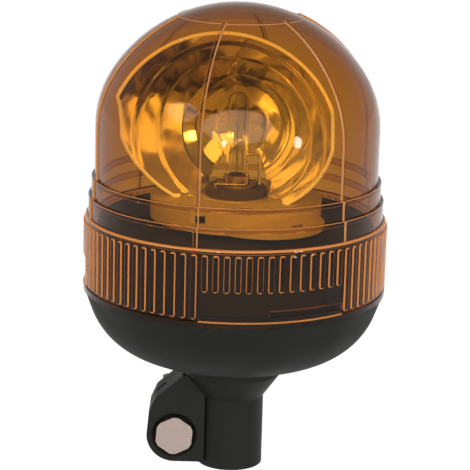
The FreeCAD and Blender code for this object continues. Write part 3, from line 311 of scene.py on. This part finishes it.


# A glow above 0 and a clarity below 1 paint the bright orange lines of the lens's edges:
# painted glow and painted highlight.
def amber(name, color=(1.0, 0.97, 0.92), roughness=0.015, glow=0.0, clarity=1.0):
    """Amber moulding: refraction to the eye, straight passage to shadow and diffuse rays."""
    s = Shader(name)
    place = s.place()
    glass = s.principled(color, roughness, IOR=1.28, Transmission_Weight=clarity,
                         Specular_IOR_Level=0.3)
    s.glow(glass, color, glow)
    deeper = tuple(c * 0.96 for c in color)
    s.link(s.ramp(s.noise(place, 0.03, 1.0), deeper, color), glass.inputs["Base Color"])
    s.bump(glass, s.noise(place, 0.12, 1.0), 0.05, 0.2)
    clear = s.node("ShaderNodeBsdfTransparent")
    ray = s.node("ShaderNodeLightPath").outputs
    passing = s.largest(ray["Is Shadow Ray"], ray["Is Diffuse Ray"])
    s.surface(s.blend(passing, glass, clear))
    depth = s.node("ShaderNodeVolumeAbsorption")
    depth.inputs["Color"].default_value = (*AMBER_DEPTH, 1)
    depth.inputs["Density"].default_value = AMBER_DENSITY
    s.link(depth.outputs[0], s.output.inputs["Volume"])
    return s.material


def mirror(name):
    """Metallised reflector with a trace of waviness."""
    s = Shader(name)
    shader = s.principled((0.93, 0.90, 0.84), 0.06, Metallic=1.0)
    place = s.place()
    s.link(s.ramp(s.noise(place, 0.2, 2.0), 0.05, 0.11), shader.inputs["Roughness"])
    s.bump(shader, s.noise(place, 0.08, 1.0), 0.06, 0.5)
    s.surface(shader)
    return s.material


def rim_with_painted_glow(name):
    """The mirror's rolled rim: pale lacquered metal with a painted glow that stands in for the
    lamp's light it catches.
    """
    s = Shader(name)
    shader = s.principled((0.95, 0.86, 0.66), 0.32, Metallic=0.6)
    # Painted glow: emission on the rim, which is no lamp.
    s.glow(shader, (1.0, 0.80, 0.42), 0.85)
    s.link(s.ramp(s.noise(s.place(), 0.15, 2.0), 0.24, 0.40), shader.inputs["Roughness"])
    s.surface(shader)
    return s.material


def clear_glass(name):
    """Quartz with the slight unevenness of a drawn tube."""
    s = Shader(name)
    shader = s.principled((0.97, 0.98, 0.98), 0.02, IOR=1.46, Transmission_Weight=1.0)
    s.bump(shader, s.noise(s.place(), 0.5, 1.0), 0.05, 0.05)
    s.surface(shader)
    return s.material


# ---------------------------------------------------------------- lens

LENS_BASE, LENS_TOP = (corner.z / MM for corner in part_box("lens"))
LENS_WALL = 2.5

# The skirt, its lip, and the two steps in above it.
SKIRT_RADIUS, SKIRT_TOP, SKIRT_CORNER = 70.2, 122.4, 1.0
LIP_TOP, LIP_CHAMFER = 89.5, 0.5
STEP_1, STEP_2 = 131.6, 140.4
STEP_IN, STEP_CHAMFER = 1.4, 0.3

# Three equal panels go round the skirt, each with short and then long flutes.
PANELS, PANEL_START = 3, -12.5
PANEL_SPAN = 360.0 / PANELS
SHORT_FLUTES, LONG_FLUTES = 14, 16
FLUTES = PANELS * (SHORT_FLUTES + LONG_FLUTES)
FLUTE_PITCH = 360.0 / FLUTES
FLUTE_HALF, FLUTE_HEIGHT, FLUTE_BEVEL = 1.4, 0.8, 0.32
FLUTE_TOP, LONG_BOTTOM, SHORT_BOTTOM = 120.0, 90.4, 103.0

# One rib rises above every fifteenth flute, up the steps and the dome to the crown's ring.
FLUTES_PER_RIB = 15
RIB_HALF, RIB_BEVEL, RIB_HEIGHT = 1.1, 0.5, 0.8

# The dome's section: an upright start, a shoulder arc, and a crown arc that meets it.
DOME_RADIUS, DOME_START, DOME_HEIGHT, DOME_SHOULDER = 65.9, 164.0, 57.0, 46.0
DOME_TOP = DOME_START + DOME_HEIGHT
SHOULDER_CENTRE = DOME_RADIUS - DOME_SHOULDER
CROWN_ROUND = (SHOULDER_CENTRE ** 2 + DOME_HEIGHT ** 2 - DOME_SHOULDER ** 2) \
    / (2 * (DOME_HEIGHT - DOME_SHOULDER))
CROWN_CENTRE = DOME_TOP - CROWN_ROUND
CROWN_TURN = math.asin((CROWN_ROUND - DOME_HEIGHT) / (CROWN_ROUND - DOME_SHOULDER))
CROWN_EDGE = SHOULDER_CENTRE + DOME_SHOULDER * math.cos(CROWN_TURN)
SHOULDER_STEPS, CROWN_STEPS = 14, 30

RING_RADIUS, RING_WIDTH, RING_HEIGHT, RING_BEVEL = 29.0, 1.6, 0.25, 0.35

# Three bayonet ledges inside the skirt; start and width are in degrees.
LEDGE_START, LEDGE_WIDTH = 13.6, 32.0
LEDGE_BOTTOM, LEDGE_TOP, LEDGE_REACH = 91.2, 94.0, 2.3
LEDGE_ROWS = ((LEDGE_TOP, 0.0), (LEDGE_TOP, LEDGE_REACH), (LEDGE_BOTTOM, LEDGE_REACH),
              (LEDGE_BOTTOM, 0.0))

COLUMNS_PER_FLUTE = 6       # five across each flute or rib, and one between
LEAST_HALF = 0.12           # half width of a flute's columns where the flute has ended
LEAST_INNER = 0.4           # least share of the half width that lies inside the bevel
ROW_GAP = 0.02              # keeps rows apart that would otherwise fall together

# The two edge materials carry a painted glow and a painted orange highlight.
CLEAR, EDGE, RIB_EDGE = range(3)    # the lens's materials, in order
EDGE_RISE = 0.2                     # a face that rises more than this is an edge
EDGE_AREA = 0.5 * MM ** 2           # smaller faces along the ledge are only its row gap
END_FACING = 0.9                    # a ledge face that faces the axis less is at its end


def flute_bottom(index):
    is_long = index % (SHORT_FLUTES + LONG_FLUTES) >= SHORT_FLUTES
    return LONG_BOTTOM if is_long else SHORT_BOTTOM


def flute_angle(index):
    return PANEL_START + FLUTE_PITCH / 2 + FLUTE_PITCH * index


def flute_half_width(index, z):
    """Half the width of a round-ended flute at a height, or 0 beyond its ends."""
    from_end = min(z - flute_bottom(index), FLUTE_TOP - z)
    if from_end <= 0:
        return 0.0
    if from_end >= FLUTE_HALF:
        return FLUTE_HALF
    return math.sqrt(FLUTE_HALF ** 2 - (FLUTE_HALF - from_end) ** 2)


def flute_rise(index, z, across):
    """Height of the flute's surface over the skirt at a distance from its centre line."""
    beyond = max(flute_bottom(index) + FLUTE_HALF - z, z - (FLUTE_TOP - FLUTE_HALF), 0.0)
    inside = FLUTE_HALF - math.hypot(across, beyond)
    return FLUTE_HEIGHT * max(0.0, min(1.0, inside / FLUTE_BEVEL))


def skirt_columns(z):
    """(phi, rise) of every column of the skirt at a height."""
    columns = []
    for index in range(FLUTES):
        half = max(flute_half_width(index, z), LEAST_HALF)
        inner = max(half - FLUTE_BEVEL, LEAST_INNER * half)
        for across in (-half, -inner, 0.0, inner, half):
            phi = flute_angle(index) + math.degrees(across / SKIRT_RADIUS)
            columns.append((phi, flute_rise(index, z, across)))
        columns.append((flute_angle(index) + FLUTE_PITCH / 2, 0.0))
    return columns


def dome_columns(radius, rise):
    """As many columns, gathered on the ribs and spread evenly between them."""
    columns = []
    span = FLUTES_PER_RIB * FLUTE_PITCH
    half = math.degrees(RIB_HALF / radius)
    inner = math.degrees((RIB_HALF - RIB_BEVEL) / radius)
    rib = ((-half, 0.0), (-inner, rise), (0.0, rise), (inner, rise), (half, 0.0))
    spaces = FLUTES_PER_RIB * COLUMNS_PER_FLUTE - len(rib) + 1
    for index in range(FLUTES):
        sector, since_rib = divmod(index + 1, FLUTES_PER_RIB)
        middle = flute_angle(FLUTES_PER_RIB - 1) - span + sector * span
        for place in range(COLUMNS_PER_FLUTE):
            if since_rib == 0 and place < len(rib):
                offset, height = rib[place]
                columns.append((middle + offset, height))
            else:
                share = (since_rib * COLUMNS_PER_FLUTE + place - len(rib) + 1) / spaces
                columns.append((middle + half + share * (span - 2 * half), 0.0))
    return columns


def dome_profile(inset):
    """(radius, height) along the dome from its upright start to near the apex."""
    shoulder, crown = DOME_SHOULDER - inset, CROWN_ROUND - inset
    profile = []
    for i in range(SHOULDER_STEPS + 1):
        angle = CROWN_TURN * i / SHOULDER_STEPS
        profile.append((SHOULDER_CENTRE + shoulder * math.cos(angle),
                        DOME_START + shoulder * math.sin(angle)))
    for i in range(1, CROWN_STEPS):
        angle = CROWN_TURN + (math.pi / 2 - CROWN_TURN) * i / CROWN_STEPS
        profile.append((crown * math.cos(angle), CROWN_CENTRE + crown * math.sin(angle)))
    return profile


def dome_normal(radius, z):
    """The outward direction (radius, height) of the dome's section at a point."""
    centre = (0.0, CROWN_CENTRE) if radius < CROWN_EDGE else (SHOULDER_CENTRE, DOME_START)
    away = (radius - centre[0], z - centre[1])
    length = math.hypot(*away)
    return away[0] / length, away[1] / length


def ring_rise(radius):
    """Height of the crown's ring over the dome at a radius."""
    inside = RING_WIDTH / 2 - abs(radius - (RING_RADIUS - RING_WIDTH / 2))
    return RING_HEIGHT * max(0.0, min(1.0, inside / RING_BEVEL))


def with_crown_ring(profile):
    """The dome's section with points added where the crown's ring rises."""
    corners = (RING_RADIUS, RING_RADIUS - RING_BEVEL,
               RING_RADIUS - RING_WIDTH + RING_BEVEL, RING_RADIUS - RING_WIDTH)
    section = []
    for outer, inner in zip(profile, profile[1:]):
        section.append(outer)
        for radius in corners:
            if outer[0] > radius > inner[0]:
                angle = math.acos(radius / CROWN_ROUND)
                section.append((radius, CROWN_CENTRE + CROWN_ROUND * math.sin(angle)))
    return section + [profile[-1]]


def flute_heights():
    """Heights where the skirt needs a row for the round ends of its flutes."""
    heights = set()
    for end, way in ((LONG_BOTTOM, 1), (SHORT_BOTTOM, 1), (FLUTE_TOP, -1)):
        for turn in range(0, 91, 15):
            heights.add(round(end + way * FLUTE_HALF * (1 - math.cos(math.radians(turn))), 4))
        heights.add(end - way * ROW_GAP)
    return sorted(heights)


def outside_rows():
    """Rows of (phi, radius, z) of the outside, from the lip to near the apex.

    On the dome a fourth number says how far a point rises along the dome's normal.
    """
    rows = []

    def skirt_row(radius, z):
        rows.append([(phi, radius, z) for phi, _ in skirt_columns(z)])

    def ribbed_row(radius, z, chamfer=0.0):
        rows.append([(phi, radius - chamfer + rise, z)
                     for phi, rise in dome_columns(radius, RIB_HEIGHT)])

    skirt_row(SKIRT_RADIUS + FLUTE_HEIGHT, LENS_BASE)
    skirt_row(SKIRT_RADIUS + FLUTE_HEIGHT, LIP_TOP)
    skirt_row(SKIRT_RADIUS, LIP_TOP + LIP_CHAMFER)
    for z in flute_heights():
        rows.append([(phi, SKIRT_RADIUS + rise, z) for phi, rise in skirt_columns(z)])
    for turn in range(0, 91, 30):
        angle = math.radians(turn)
        skirt_row(SKIRT_RADIUS - SKIRT_CORNER + SKIRT_CORNER * math.cos(angle),
                  SKIRT_TOP - SKIRT_CORNER + SKIRT_CORNER * math.sin(angle))
    for radius, low, high in ((SKIRT_RADIUS - STEP_IN, SKIRT_TOP, STEP_1),
                              (SKIRT_RADIUS - 2 * STEP_IN, STEP_1, STEP_2)):
        ribbed_row(radius, low)
        ribbed_row(radius, high - STEP_CHAMFER)
        ribbed_row(radius, high, STEP_CHAMFER)
    ribbed_row(DOME_RADIUS, STEP_2)
    for radius, z in with_crown_ring(dome_profile(0.0)):
        rise = RIB_HEIGHT if radius > RING_RADIUS - RING_WIDTH else 0.0
        flat = ring_rise(radius)
        rows.append([(phi, radius, z, max(height, flat)) for phi, height in
                     dome_columns(radius, rise)])
    return rows


def inside_rows():
    """Rows of (phi, radius, z) of the inside, from near the apex down to the lip."""
    columns = [phi for phi, _ in dome_columns(SKIRT_RADIUS, 0.0)]
    inner = SKIRT_RADIUS - LENS_WALL
    section = dome_profile(LENS_WALL)[::-1]
    section.append((DOME_RADIUS - LENS_WALL, STEP_2 - LENS_WALL))
    for radius, top, bottom in ((inner - 2 * STEP_IN, STEP_2, STEP_1),
                                (inner - STEP_IN, STEP_1, SKIRT_TOP)):
        section += [(radius, top - LENS_WALL), (radius, bottom - LENS_WALL)]
    section.append((inner, SKIRT_TOP - LENS_WALL))
    rows = [[(phi, radius, z) for phi in columns] for radius, z in section]
    for z, reach in LEDGE_ROWS:
        between_ledges = ROW_GAP if reach > 0 else 0.0
        row = []
        for phi in columns:
            on_ledge = (phi - LEDGE_START) % PANEL_SPAN < LEDGE_WIDTH
            row.append((phi, inner - (reach if on_ledge else between_ledges), z))
        rows.append(row)
    rows.append([(phi, inner, LENS_BASE) for phi, _ in skirt_columns(LENS_BASE)])
    return rows


def rise_of(place):
    """How far a point stands out: along the dome's normal, or by its radius below the dome."""
    return place[3] if len(place) == 4 else place[1]


def lens_point(place):
    """The x, y and z of a point of a row."""
    phi, radius, z = place[:3]
    if len(place) == 4 and place[3] > 0:
        out, up = dome_normal(radius, z)
        radius, z = radius + out * place[3], z + up * place[3]
    angle = math.radians(phi)
    return radius * math.sin(angle), -radius * math.cos(angle), z


def edge_kind(outside, row, column):
    """Whether a face of the outside is clear or the side of a flute, lip, step, rib or ring."""
    after = (column + 1) % len(outside[row])
    low = outside[row][column], outside[row][after]
    high = outside[row + 1][column], outside[row + 1][after]
    phi, _, z = low[0][:3]
    if z < LIP_TOP:
        return CLEAR
    if z == LIP_TOP:
        above_short = (phi - PANEL_START) % PANEL_SPAN < SHORT_FLUTES * FLUTE_PITCH
        return EDGE if above_short else CLEAR
    if SKIRT_TOP - SKIRT_CORNER - ROW_GAP < z < SKIRT_TOP - ROW_GAP:
        return EDGE
    if z in (STEP_1 - STEP_CHAMFER, STEP_2 - STEP_CHAMFER):
        return RIB_EDGE
    rises = abs(rise_of(low[0]) - rise_of(low[1])) + abs(rise_of(high[0]) - rise_of(high[1]))
    if len(low[0]) == 4:
        rises += abs(rise_of(low[0]) - rise_of(high[0]))
    if rises < EDGE_RISE:
        return CLEAR
    return EDGE if z < FLUTE_TOP else RIB_EDGE


def mark_edges(polygons, outside, inside):
    """Give the faces on edges outside and on the ledges the edge materials, whose orange and
    glow are painted highlight.
    """
    columns = len(outside[0])
    inside_start = (len(outside) - 1) * columns
    ledge_top = inside_start + (len(inside) - 1 - len(LEDGE_ROWS)) * columns
    ledge_side = ledge_top + columns
    for number, face in enumerate(polygons):
        if number < inside_start:
            face.material_index = edge_kind(outside, *divmod(number, columns))
        elif ledge_top <= number < ledge_side:
            face.material_index = EDGE if face.area > EDGE_AREA else CLEAR
        elif ledge_side <= number < ledge_side + columns:
            facing = abs(face.normal.xy.dot(face.center.xy.normalized()))
            face.material_index = EDGE if facing < END_FACING else CLEAR


def make_lens():
    """The amber moulding, one closed shell of outside, inside and lip."""
    outside, inside = outside_rows(), inside_rows()
    columns = len(outside[0])
    points = [lens_point(place) for row in outside + inside for place in row]
    faces = grid_faces(len(outside), columns)
    start = len(outside) * columns
    faces += [tuple(start + v for v in face) for face in grid_faces(len(inside), columns)]
    # The apex, outside and inside, and the lip's underside close the shell.
    apex, last, lip = len(points), start - columns, len(points) - columns
    points += [(0, 0, DOME_TOP), (0, 0, DOME_TOP - LENS_WALL)]
    for j in range(columns):
        k = (j + 1) % columns
        faces.append((apex, last + j, last + k))
        faces.append((apex + 1, start + k, start + j))
        faces.append((lip + j, lip + k, k, j))
    piece = mesh_object("amber_lens", points, faces)
    # The two edge materials paint the bright orange lines where light runs through the
    # moulding: an opaquer orange with a faint painted glow.
    for material in (amber("amber_lens"),
                     amber("amber_edges_painted_glow", (0.88, 0.32, 0.08), 0.25, 0.09, 0.52),
                     amber("amber_rib_edges_painted_glow", (0.85, 0.36, 0.12), 0.15, 0.10, 0.60)):
        piece.data.materials.append(material)
    mark_edges(piece.data.polygons, outside, inside)
    smooth_by_angle(piece, 30)
    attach(piece, "lens")
    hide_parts("lens")


# ---------------------------------------------------------------- reflector

# The mirror is a parabola about a level axis through the lamp, in bands that step forward.
FOCAL, FOCUS = 14.0, 161.0
DISH_RINGS = (12.0, 21.0, 26.5, 35.0, 43.5, 51.0, 58.0)     # the bands' outer radii
RING_GROOVE = 0.35
DISH_STEP, DISH_WALL, DISH_PITCH = 0.7, 1.2, 1.5
DISH_DEEP = 80.0

# Its outline seen from the front, and the foot behind it on the carrier's web.
REFLECTOR_TURN = 11.0
WEB_TOP = 131.2
HALF_WIDTH, LOWER_ROUND, LOWER_STEPS = 48.0, 46.0, 12
FOOT_HALF, FOOT_BACK, FOOT_THICKNESS, FOOT_STEPS = 25.0, 27.0, 1.5, 8

# Room kept to the dome, the lamp's hub and its wire clip.
ROOM_INSET = 4.1
HUB_RADIUS, HUB_HEIGHT, HUB_STEPS = 16.6, 7.8, 16
CLIP_ROOM, CLIP_HEIGHT = 13.5, 23.0
WELL_BELOW = 5.0

# The rolled rim, which ends beside the foot; its end is in degrees from level.
RIM_RADIUS = 0.75
RIM_STEPS, RIM_END = 220, 50
RIM_SEARCH, RIM_HALVINGS = (10.0, 80.0), 24


def dish_profile(behind):
    """(radius, depth) of the stepped mirror; each band lifts forward towards its rim."""
    profile = []
    inner = 0.0
    for outer in DISH_RINGS:
        count = max(3, round((outer - inner) / DISH_PITCH))
        for i in range(count + 1):
            radius = inner + (outer - inner) * i / count
            lift = DISH_STEP * (i / count) ** 2
            profile.append((radius, FOCAL + behind - radius ** 2 / (4 * FOCAL) + lift))
        inner = outer + RING_GROOVE
    return profile


def dish_depth_at(x, z):
    """Depth of the middle of the mirror's wall at a place across it."""
    square = x ** 2 + (z - FOCUS) ** 2
    return FOCAL + DISH_WALL / 2 - square / (4 * FOCAL)


def lower_circle():
    """Centre and end angles of the arc of the dish's lower right edge."""
    start, end = Vector((FOOT_HALF, WEB_TOP)), Vector((HALF_WIDTH, FOCUS))
    half = (end - start) / 2
    normal = Vector((-half.y, half.x)).normalized()
    centre = start + half + normal * math.sqrt(LOWER_ROUND ** 2 - half.length_squared)
    low, high = start - centre, end - centre
    return centre, math.atan2(low.y, low.x), math.atan2(high.y, high.x)


def dish_outline():
    """The mirror from the front: straight sides, and an arc from each down to the foot."""
    centre, from_angle, to_angle = lower_circle()
    arc = []
    for i in range(LOWER_STEPS + 1):
        angle = from_angle + (to_angle - from_angle) * (i / LOWER_STEPS)
        arc.append((centre.x + LOWER_ROUND * math.cos(angle),
                    centre.y + LOWER_ROUND * math.sin(angle)))
    top = [(HALF_WIDTH, LENS_TOP), (-HALF_WIDTH, LENS_TOP)]
    return arc + top + [(-x, z) for x, z in reversed(arc)]


def make_dish():
    """The mirror: a turned dish, trimmed to its outline and to the room around it."""
    front, back = dish_profile(0.0), dish_profile(DISH_WALL)
    # The optical axis is Y: radius and depth become (x, z) and y.
    section = front[1:] + list(reversed(back[1:]))
    closed = [(0.0, front[0][1])] + section + [(0.0, back[0][1])]
    dish = turned("mirror_dish", closed, steps=256, axis="Y")
    for vertex in dish.data.vertices:
        vertex.co.z += FOCUS * MM
    front_tool = prism("dish_front", dish_outline(), -DISH_DEEP, DISH_DEEP, "Y")
    boolean(dish, front_tool, "INTERSECT")
    room = [(0.0, WEB_TOP), (DOME_RADIUS - ROOM_INSET, WEB_TOP)] + dome_profile(ROOM_INSET)
    room.append((0.0, DOME_TOP - ROOM_INSET))
    boolean(dish, turned("dish_room", room, steps=128), "INTERSECT")
    well = [(0.0, WEB_TOP - WELL_BELOW), (HUB_RADIUS, WEB_TOP - WELL_BELOW),
            (HUB_RADIUS, WEB_TOP + HUB_HEIGHT), (CLIP_ROOM, WEB_TOP + HUB_HEIGHT),
            (CLIP_ROOM, WEB_TOP + CLIP_HEIGHT), (0.0, WEB_TOP + CLIP_HEIGHT)]
    boolean(dish, turned("lamp_well", well), "DIFFERENCE")
    smooth_by_angle(dish, 25)
    finish_rotor_piece(dish, MIRROR)
    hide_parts("reflector")


def foot_outline():
    """The foot behind the mirror: an open fork round the lamp's hub."""
    def along_mirror(start):
        edge = []
        for i in range(FOOT_STEPS + 1):
            x = start + (FOOT_HALF - HUB_RADIUS) * i / FOOT_STEPS
            edge.append((x, dish_depth_at(x, WEB_TOP)))
        return edge

    fork = []
    for i in range(1, HUB_STEPS):
        angle = math.pi - math.pi * i / HUB_STEPS
        fork.append((HUB_RADIUS * math.cos(angle), HUB_RADIUS * math.sin(angle)))
    back = [(FOOT_HALF, FOOT_BACK), (-FOOT_HALF, FOOT_BACK)]
    return along_mirror(-FOOT_HALF) + fork + along_mirror(HUB_RADIUS) + back


def make_foot():
    """The flat foot that stands on the carrier's web."""
    foot = prism("mirror_foot", foot_outline(), WEB_TOP, WEB_TOP + FOOT_THICKNESS)
    finish_rotor_piece(foot, MIRROR)


def between(rows, value, key, result):
    """Interpolate rows that rise or fall steadily in one column."""
    for first, second in zip(rows, rows[1:]):
        low, high = sorted((first[key], second[key]))
        if low <= value <= high and high > low:
            share = (value - first[key]) / (second[key] - first[key])
            return first[result] + share * (second[result] - first[result])
    return rows[-1][result]


def make_rim():
    """The rolled rim along the mirror's front edge, found by halving along each ray."""
    front = dish_profile(0.0)
    dome = dome_profile(ROOM_INSET)
    centre, _, _ = lower_circle()

    def on_dish(x, z, depth):
        reach = math.hypot(x, depth)
        room = between(dome, z, 1, 0) if z > DOME_START else DOME_RADIUS - ROOM_INSET
        if z < FOCUS:
            beside = math.hypot(abs(x) - centre.x, z - centre.y) < LOWER_ROUND
        else:
            beside = abs(x) < HALF_WIDTH
        return beside and z > WEB_TOP + RIM_RADIUS and reach < room

    path = []
    for step in range(RIM_STEPS + 1):
        angle = math.radians(-RIM_END + (180 + 2 * RIM_END) * step / RIM_STEPS)
        low, high = RIM_SEARCH
        for _ in range(RIM_HALVINGS):
            radius = (low + high) / 2
            x, z = radius * math.cos(angle), FOCUS + radius * math.sin(angle)
            if on_dish(x, z, between(front, radius, 0, 1)):
                low = radius
            else:
                high = radius
        path.append((x, between(front, radius, 0, 1), z))
    finish_rotor_piece(tube("mirror_rim", path, RIM_RADIUS), RIM_METAL_AND_GLOW)


def finish_rotor_piece(piece, finish):
    """Give a piece its finish, turn it to the reflector's angle and let it ride the rotor."""
    piece.data.materials.clear()
    piece.data.materials.append(finish)
    piece.data.transform(Matrix.Rotation(-math.radians(REFLECTOR_TURN), 4, "Z"))
    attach(piece, "rotor")


# ---------------------------------------------------------------- wing nut

NUT_RADIUS, NUT_HEIGHT, NUT_TAPER, NUT_BORE, NUT_STEPS = 8.0, 9.0, 1.2, 5.05, 64
NUT_SEAT_GAP = 0.05         # keeps the nut's face clear of the washer
WING_ANGLE, WING_HALF, WING_BEVEL = 17.0, 1.6, 0.8
# One wing's outline as (distance from the bolt, height from the seat).
WING = ((5.6, 1.0), (13.0, 4.0), (17.0, 5.0), (19.4, 7.0), (20.0, 9.4), (19.2, 12.2),
        (17.6, 13.8), (15.8, 14.0), (12.0, 12.5), (5.6, 8.0))


def make_wing_nut():
    """A tapered hub with two wings, one of them up to the left behind the clamp."""
    washer_low, washer_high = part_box("clamp_washer")
    bolt = (washer_low + washer_high) / 2
    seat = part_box("wing_nut")[0].y
    section = [(NUT_BORE, NUT_SEAT_GAP), (NUT_RADIUS, NUT_SEAT_GAP),
               (NUT_RADIUS - NUT_TAPER, NUT_HEIGHT), (NUT_BORE, NUT_HEIGHT)]
    points = []
    for radius, height in section:
        for j in range(NUT_STEPS):
            turn = 2 * math.pi * j / NUT_STEPS
            points.append((radius * math.cos(turn), height, radius * math.sin(turn)))
    nut = mesh_object("nut_hub", points, grid_faces(len(section), NUT_STEPS, wrap_rows=True))
    for side in (1, -1):
        outline = [(side * across, height) for across, height in WING]
        wing = prism("nut_wing", outline, -WING_HALF, WING_HALF)
        edges = wing.modifiers.new("round", "BEVEL")
        edges.width, edges.segments = WING_BEVEL * MM, 3
        apply_modifiers(wing)
        boolean(nut, wing, "UNION")
    nut.name = "zinc_wing_nut"
    smooth_by_angle(nut, 35)
    nut.data.materials.clear()
    nut.data.materials.append(ZINC)
    upright = Matrix.Rotation(math.radians(90 - WING_ANGLE), 4, "Y")
    nut.data.transform(Matrix.Translation((bolt.x, seat, bolt.z)) @ upright)
    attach(nut, "nut")
    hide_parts("wing_nut")


# ---------------------------------------------------------------- finishes

BLACK_MOULDING = moulded("black_moulding", (0.006, 0.006, 0.004), 0.52, 0.15)
BLACK_RUBBER = moulded("black_rubber", (0.006, 0.006, 0.0035), 0.60, 0.35)
NYLON = moulded("natural_nylon", (0.86, 0.78, 0.62), 0.38, 0.15, 0.05)
LAMP_PLASTIC = moulded("lamp_holder_plastic", (0.10, 0.085, 0.065), 0.35, 0.15)
ZINC = metal("zinc_steel", (0.39, 0.31, 0.27), 0.34, (1, 0.25, 1))
SPRING_WIRE = metal("spring_wire", (0.62, 0.60, 0.57), 0.22)
BRASS = metal("brass", (0.74, 0.55, 0.25), 0.28)
TUNGSTEN = metal("tungsten", (0.36, 0.35, 0.34), 0.4)
MIRROR = mirror("mirror_metal")
RIM_METAL_AND_GLOW = rim_with_painted_glow("mirror_rim_metal_painted_glow")
QUARTZ = clear_glass("quartz_glass")

SLOT_FINISHES = {
    "black_plastic": BLACK_MOULDING,
    "black_rubber": BLACK_RUBBER,
    "zinc_steel": ZINC,
    "white_plastic": NYLON,
    "brass": BRASS,
    "clear_glass": QUARTZ,
    "tungsten": TUNGSTEN,
    "spring_steel": SPRING_WIRE,
    "mirror_metal": MIRROR,
}
NODE_FINISHES = {"lamp_head": LAMP_PLASTIC}


def dress_nodes():
    """Give every node its finish by the record's slot; the amber lens has a mesh of its own."""
    for entry in frame["record"]["subparts"]:
        name = entry["node"]
        finish = NODE_FINISHES.get(name) or SLOT_FINISHES.get(entry["material_slot"])
        if finish:
            mesh = frame["nodes"][name].data
            mesh.materials.clear()
            mesh.materials.append(finish)


# ---------------------------------------------------------------- stage, in metres

FLOOR_HALF, FLOOR_DROP = 8.0, 0.25
FLOOR_WHITE, FLOOR_GLOW, FLOOR_GLOW_SHARE = 0.85, 1.12, 0.85
ROOM_STRENGTH = 0.60
# The backdrop's strength low down and high up, and the heights between which it fades.
BACKDROP_FADE = (1.0, 0.55, 0.10, 0.45)

# The part is lit from the front by ellipses of light: name, place, width, height, watts.
LIT_POINT = Vector((0.0, 0.0, 0.13))
SOFTBOXES = (("wall", (0.0, -2.2, 0.9), 2.4, 1.6, 36.0),
             ("left", (-1.5, -1.3, 1.2), 1.0, 0.8, 8.0),
             ("window", (1.02, -0.95, 0.16), 0.16, 0.30, 4.0),
             ("lamp", (-0.25, -1.40, 0.17), 0.09, 0.16, 1.2))

CAMERA_PLACE = (0.0, -0.8659, 0.3324)
CAMERA_PITCH, CAMERA_ROLL = 75.70, 1.51
CAMERA_LENS, SENSOR_WIDTH = 145.76, 36.0


def seen_directly(s):
    """1 for rays from the eye, from gloss and through glass."""
    ray = s.node("ShaderNodeLightPath").outputs
    return s.largest(ray["Is Camera Ray"], ray["Is Glossy Ray"], ray["Is Transmission Ray"])


def make_floor():
    """A matt floor that looks nearly white by itself, well below the part."""
    mesh = bpy.data.meshes.new("floor")
    half, level = FLOOR_HALF, min(corner[2] for corner in cad_box) - FLOOR_DROP
    corners = [(-half, -half), (half, -half), (half, half), (-half, half)]
    mesh.from_pydata([(x, y, level) for x, y in corners], [], [(0, 1, 2, 3)])
    floor = new_object("floor", mesh)
    s = Shader("floor")
    matt = s.principled((FLOOR_WHITE, FLOOR_WHITE, FLOOR_WHITE), 0.9)
    white = s.node("ShaderNodeEmission")
    white.inputs["Strength"].default_value = FLOOR_GLOW
    share = s.node("ShaderNodeMath", operation="MULTIPLY")
    share.inputs[1].default_value = FLOOR_GLOW_SHARE
    s.link(seen_directly(s), share.inputs[0])
    s.surface(s.blend(share.outputs[0], matt, white))
    mesh.materials.append(s.material)


class WorldShader(Shader):
    """The same helper around the world's node tree."""

    def __init__(self, name):
        world = bpy.data.worlds.new(name)
        bpy.context.scene.world = world
        world.use_nodes = True
        self.tree = world.node_tree
        self.tree.nodes.clear()
        self.output = self.node("ShaderNodeOutputWorld")


def make_world():
    """An even room that lights the part, and a white backdrop that fades upwards."""
    s = WorldShader("studio")
    room, white = s.node("ShaderNodeBackground"), s.node("ShaderNodeBackground")
    room.inputs["Color"].default_value = (1, 1, 1, 1)
    room.inputs["Strength"].default_value = ROOM_STRENGTH
    height = s.node("ShaderNodeSeparateXYZ")
    s.link(s.node("ShaderNodeTexCoord").outputs["Generated"], height.inputs[0])
    s.link(s.ramp(height.outputs["Z"], *BACKDROP_FADE), white.inputs["Strength"])
    s.surface(s.blend(seen_directly(s), room, white))


def make_softbox(name, place, width, height, power):
    light = bpy.data.lights.new(name, "AREA")
    light.shape = "ELLIPSE"
    light.size, light.size_y = width, height
    light.energy = power
    turn = (Vector(place) - LIT_POINT).to_track_quat("Z", "Y").to_matrix().to_4x4()
    new_object(name, light).matrix_world = Matrix.Translation(place) @ turn


def make_camera():
    data = bpy.data.cameras.new("camera")
    data.lens = CAMERA_LENS
    data.sensor_width = SENSOR_WIDTH
    camera = new_object("camera", data)
    camera.matrix_world = (Matrix.Translation(CAMERA_PLACE)
                           @ Matrix.Rotation(math.radians(CAMERA_PITCH), 4, "X")
                           @ Matrix.Rotation(math.radians(CAMERA_ROLL), 4, "Z"))
    bpy.context.scene.camera = camera


# ---------------------------------------------------------------- the scene

dress_nodes()
make_lens()
make_dish()
make_foot()
make_rim()
make_wing_nut()
make_floor()
make_world()
for softbox in SOFTBOXES:
    make_softbox(*softbox)
make_camera()

bpy.context.scene.view_settings.view_transform = "Standard"
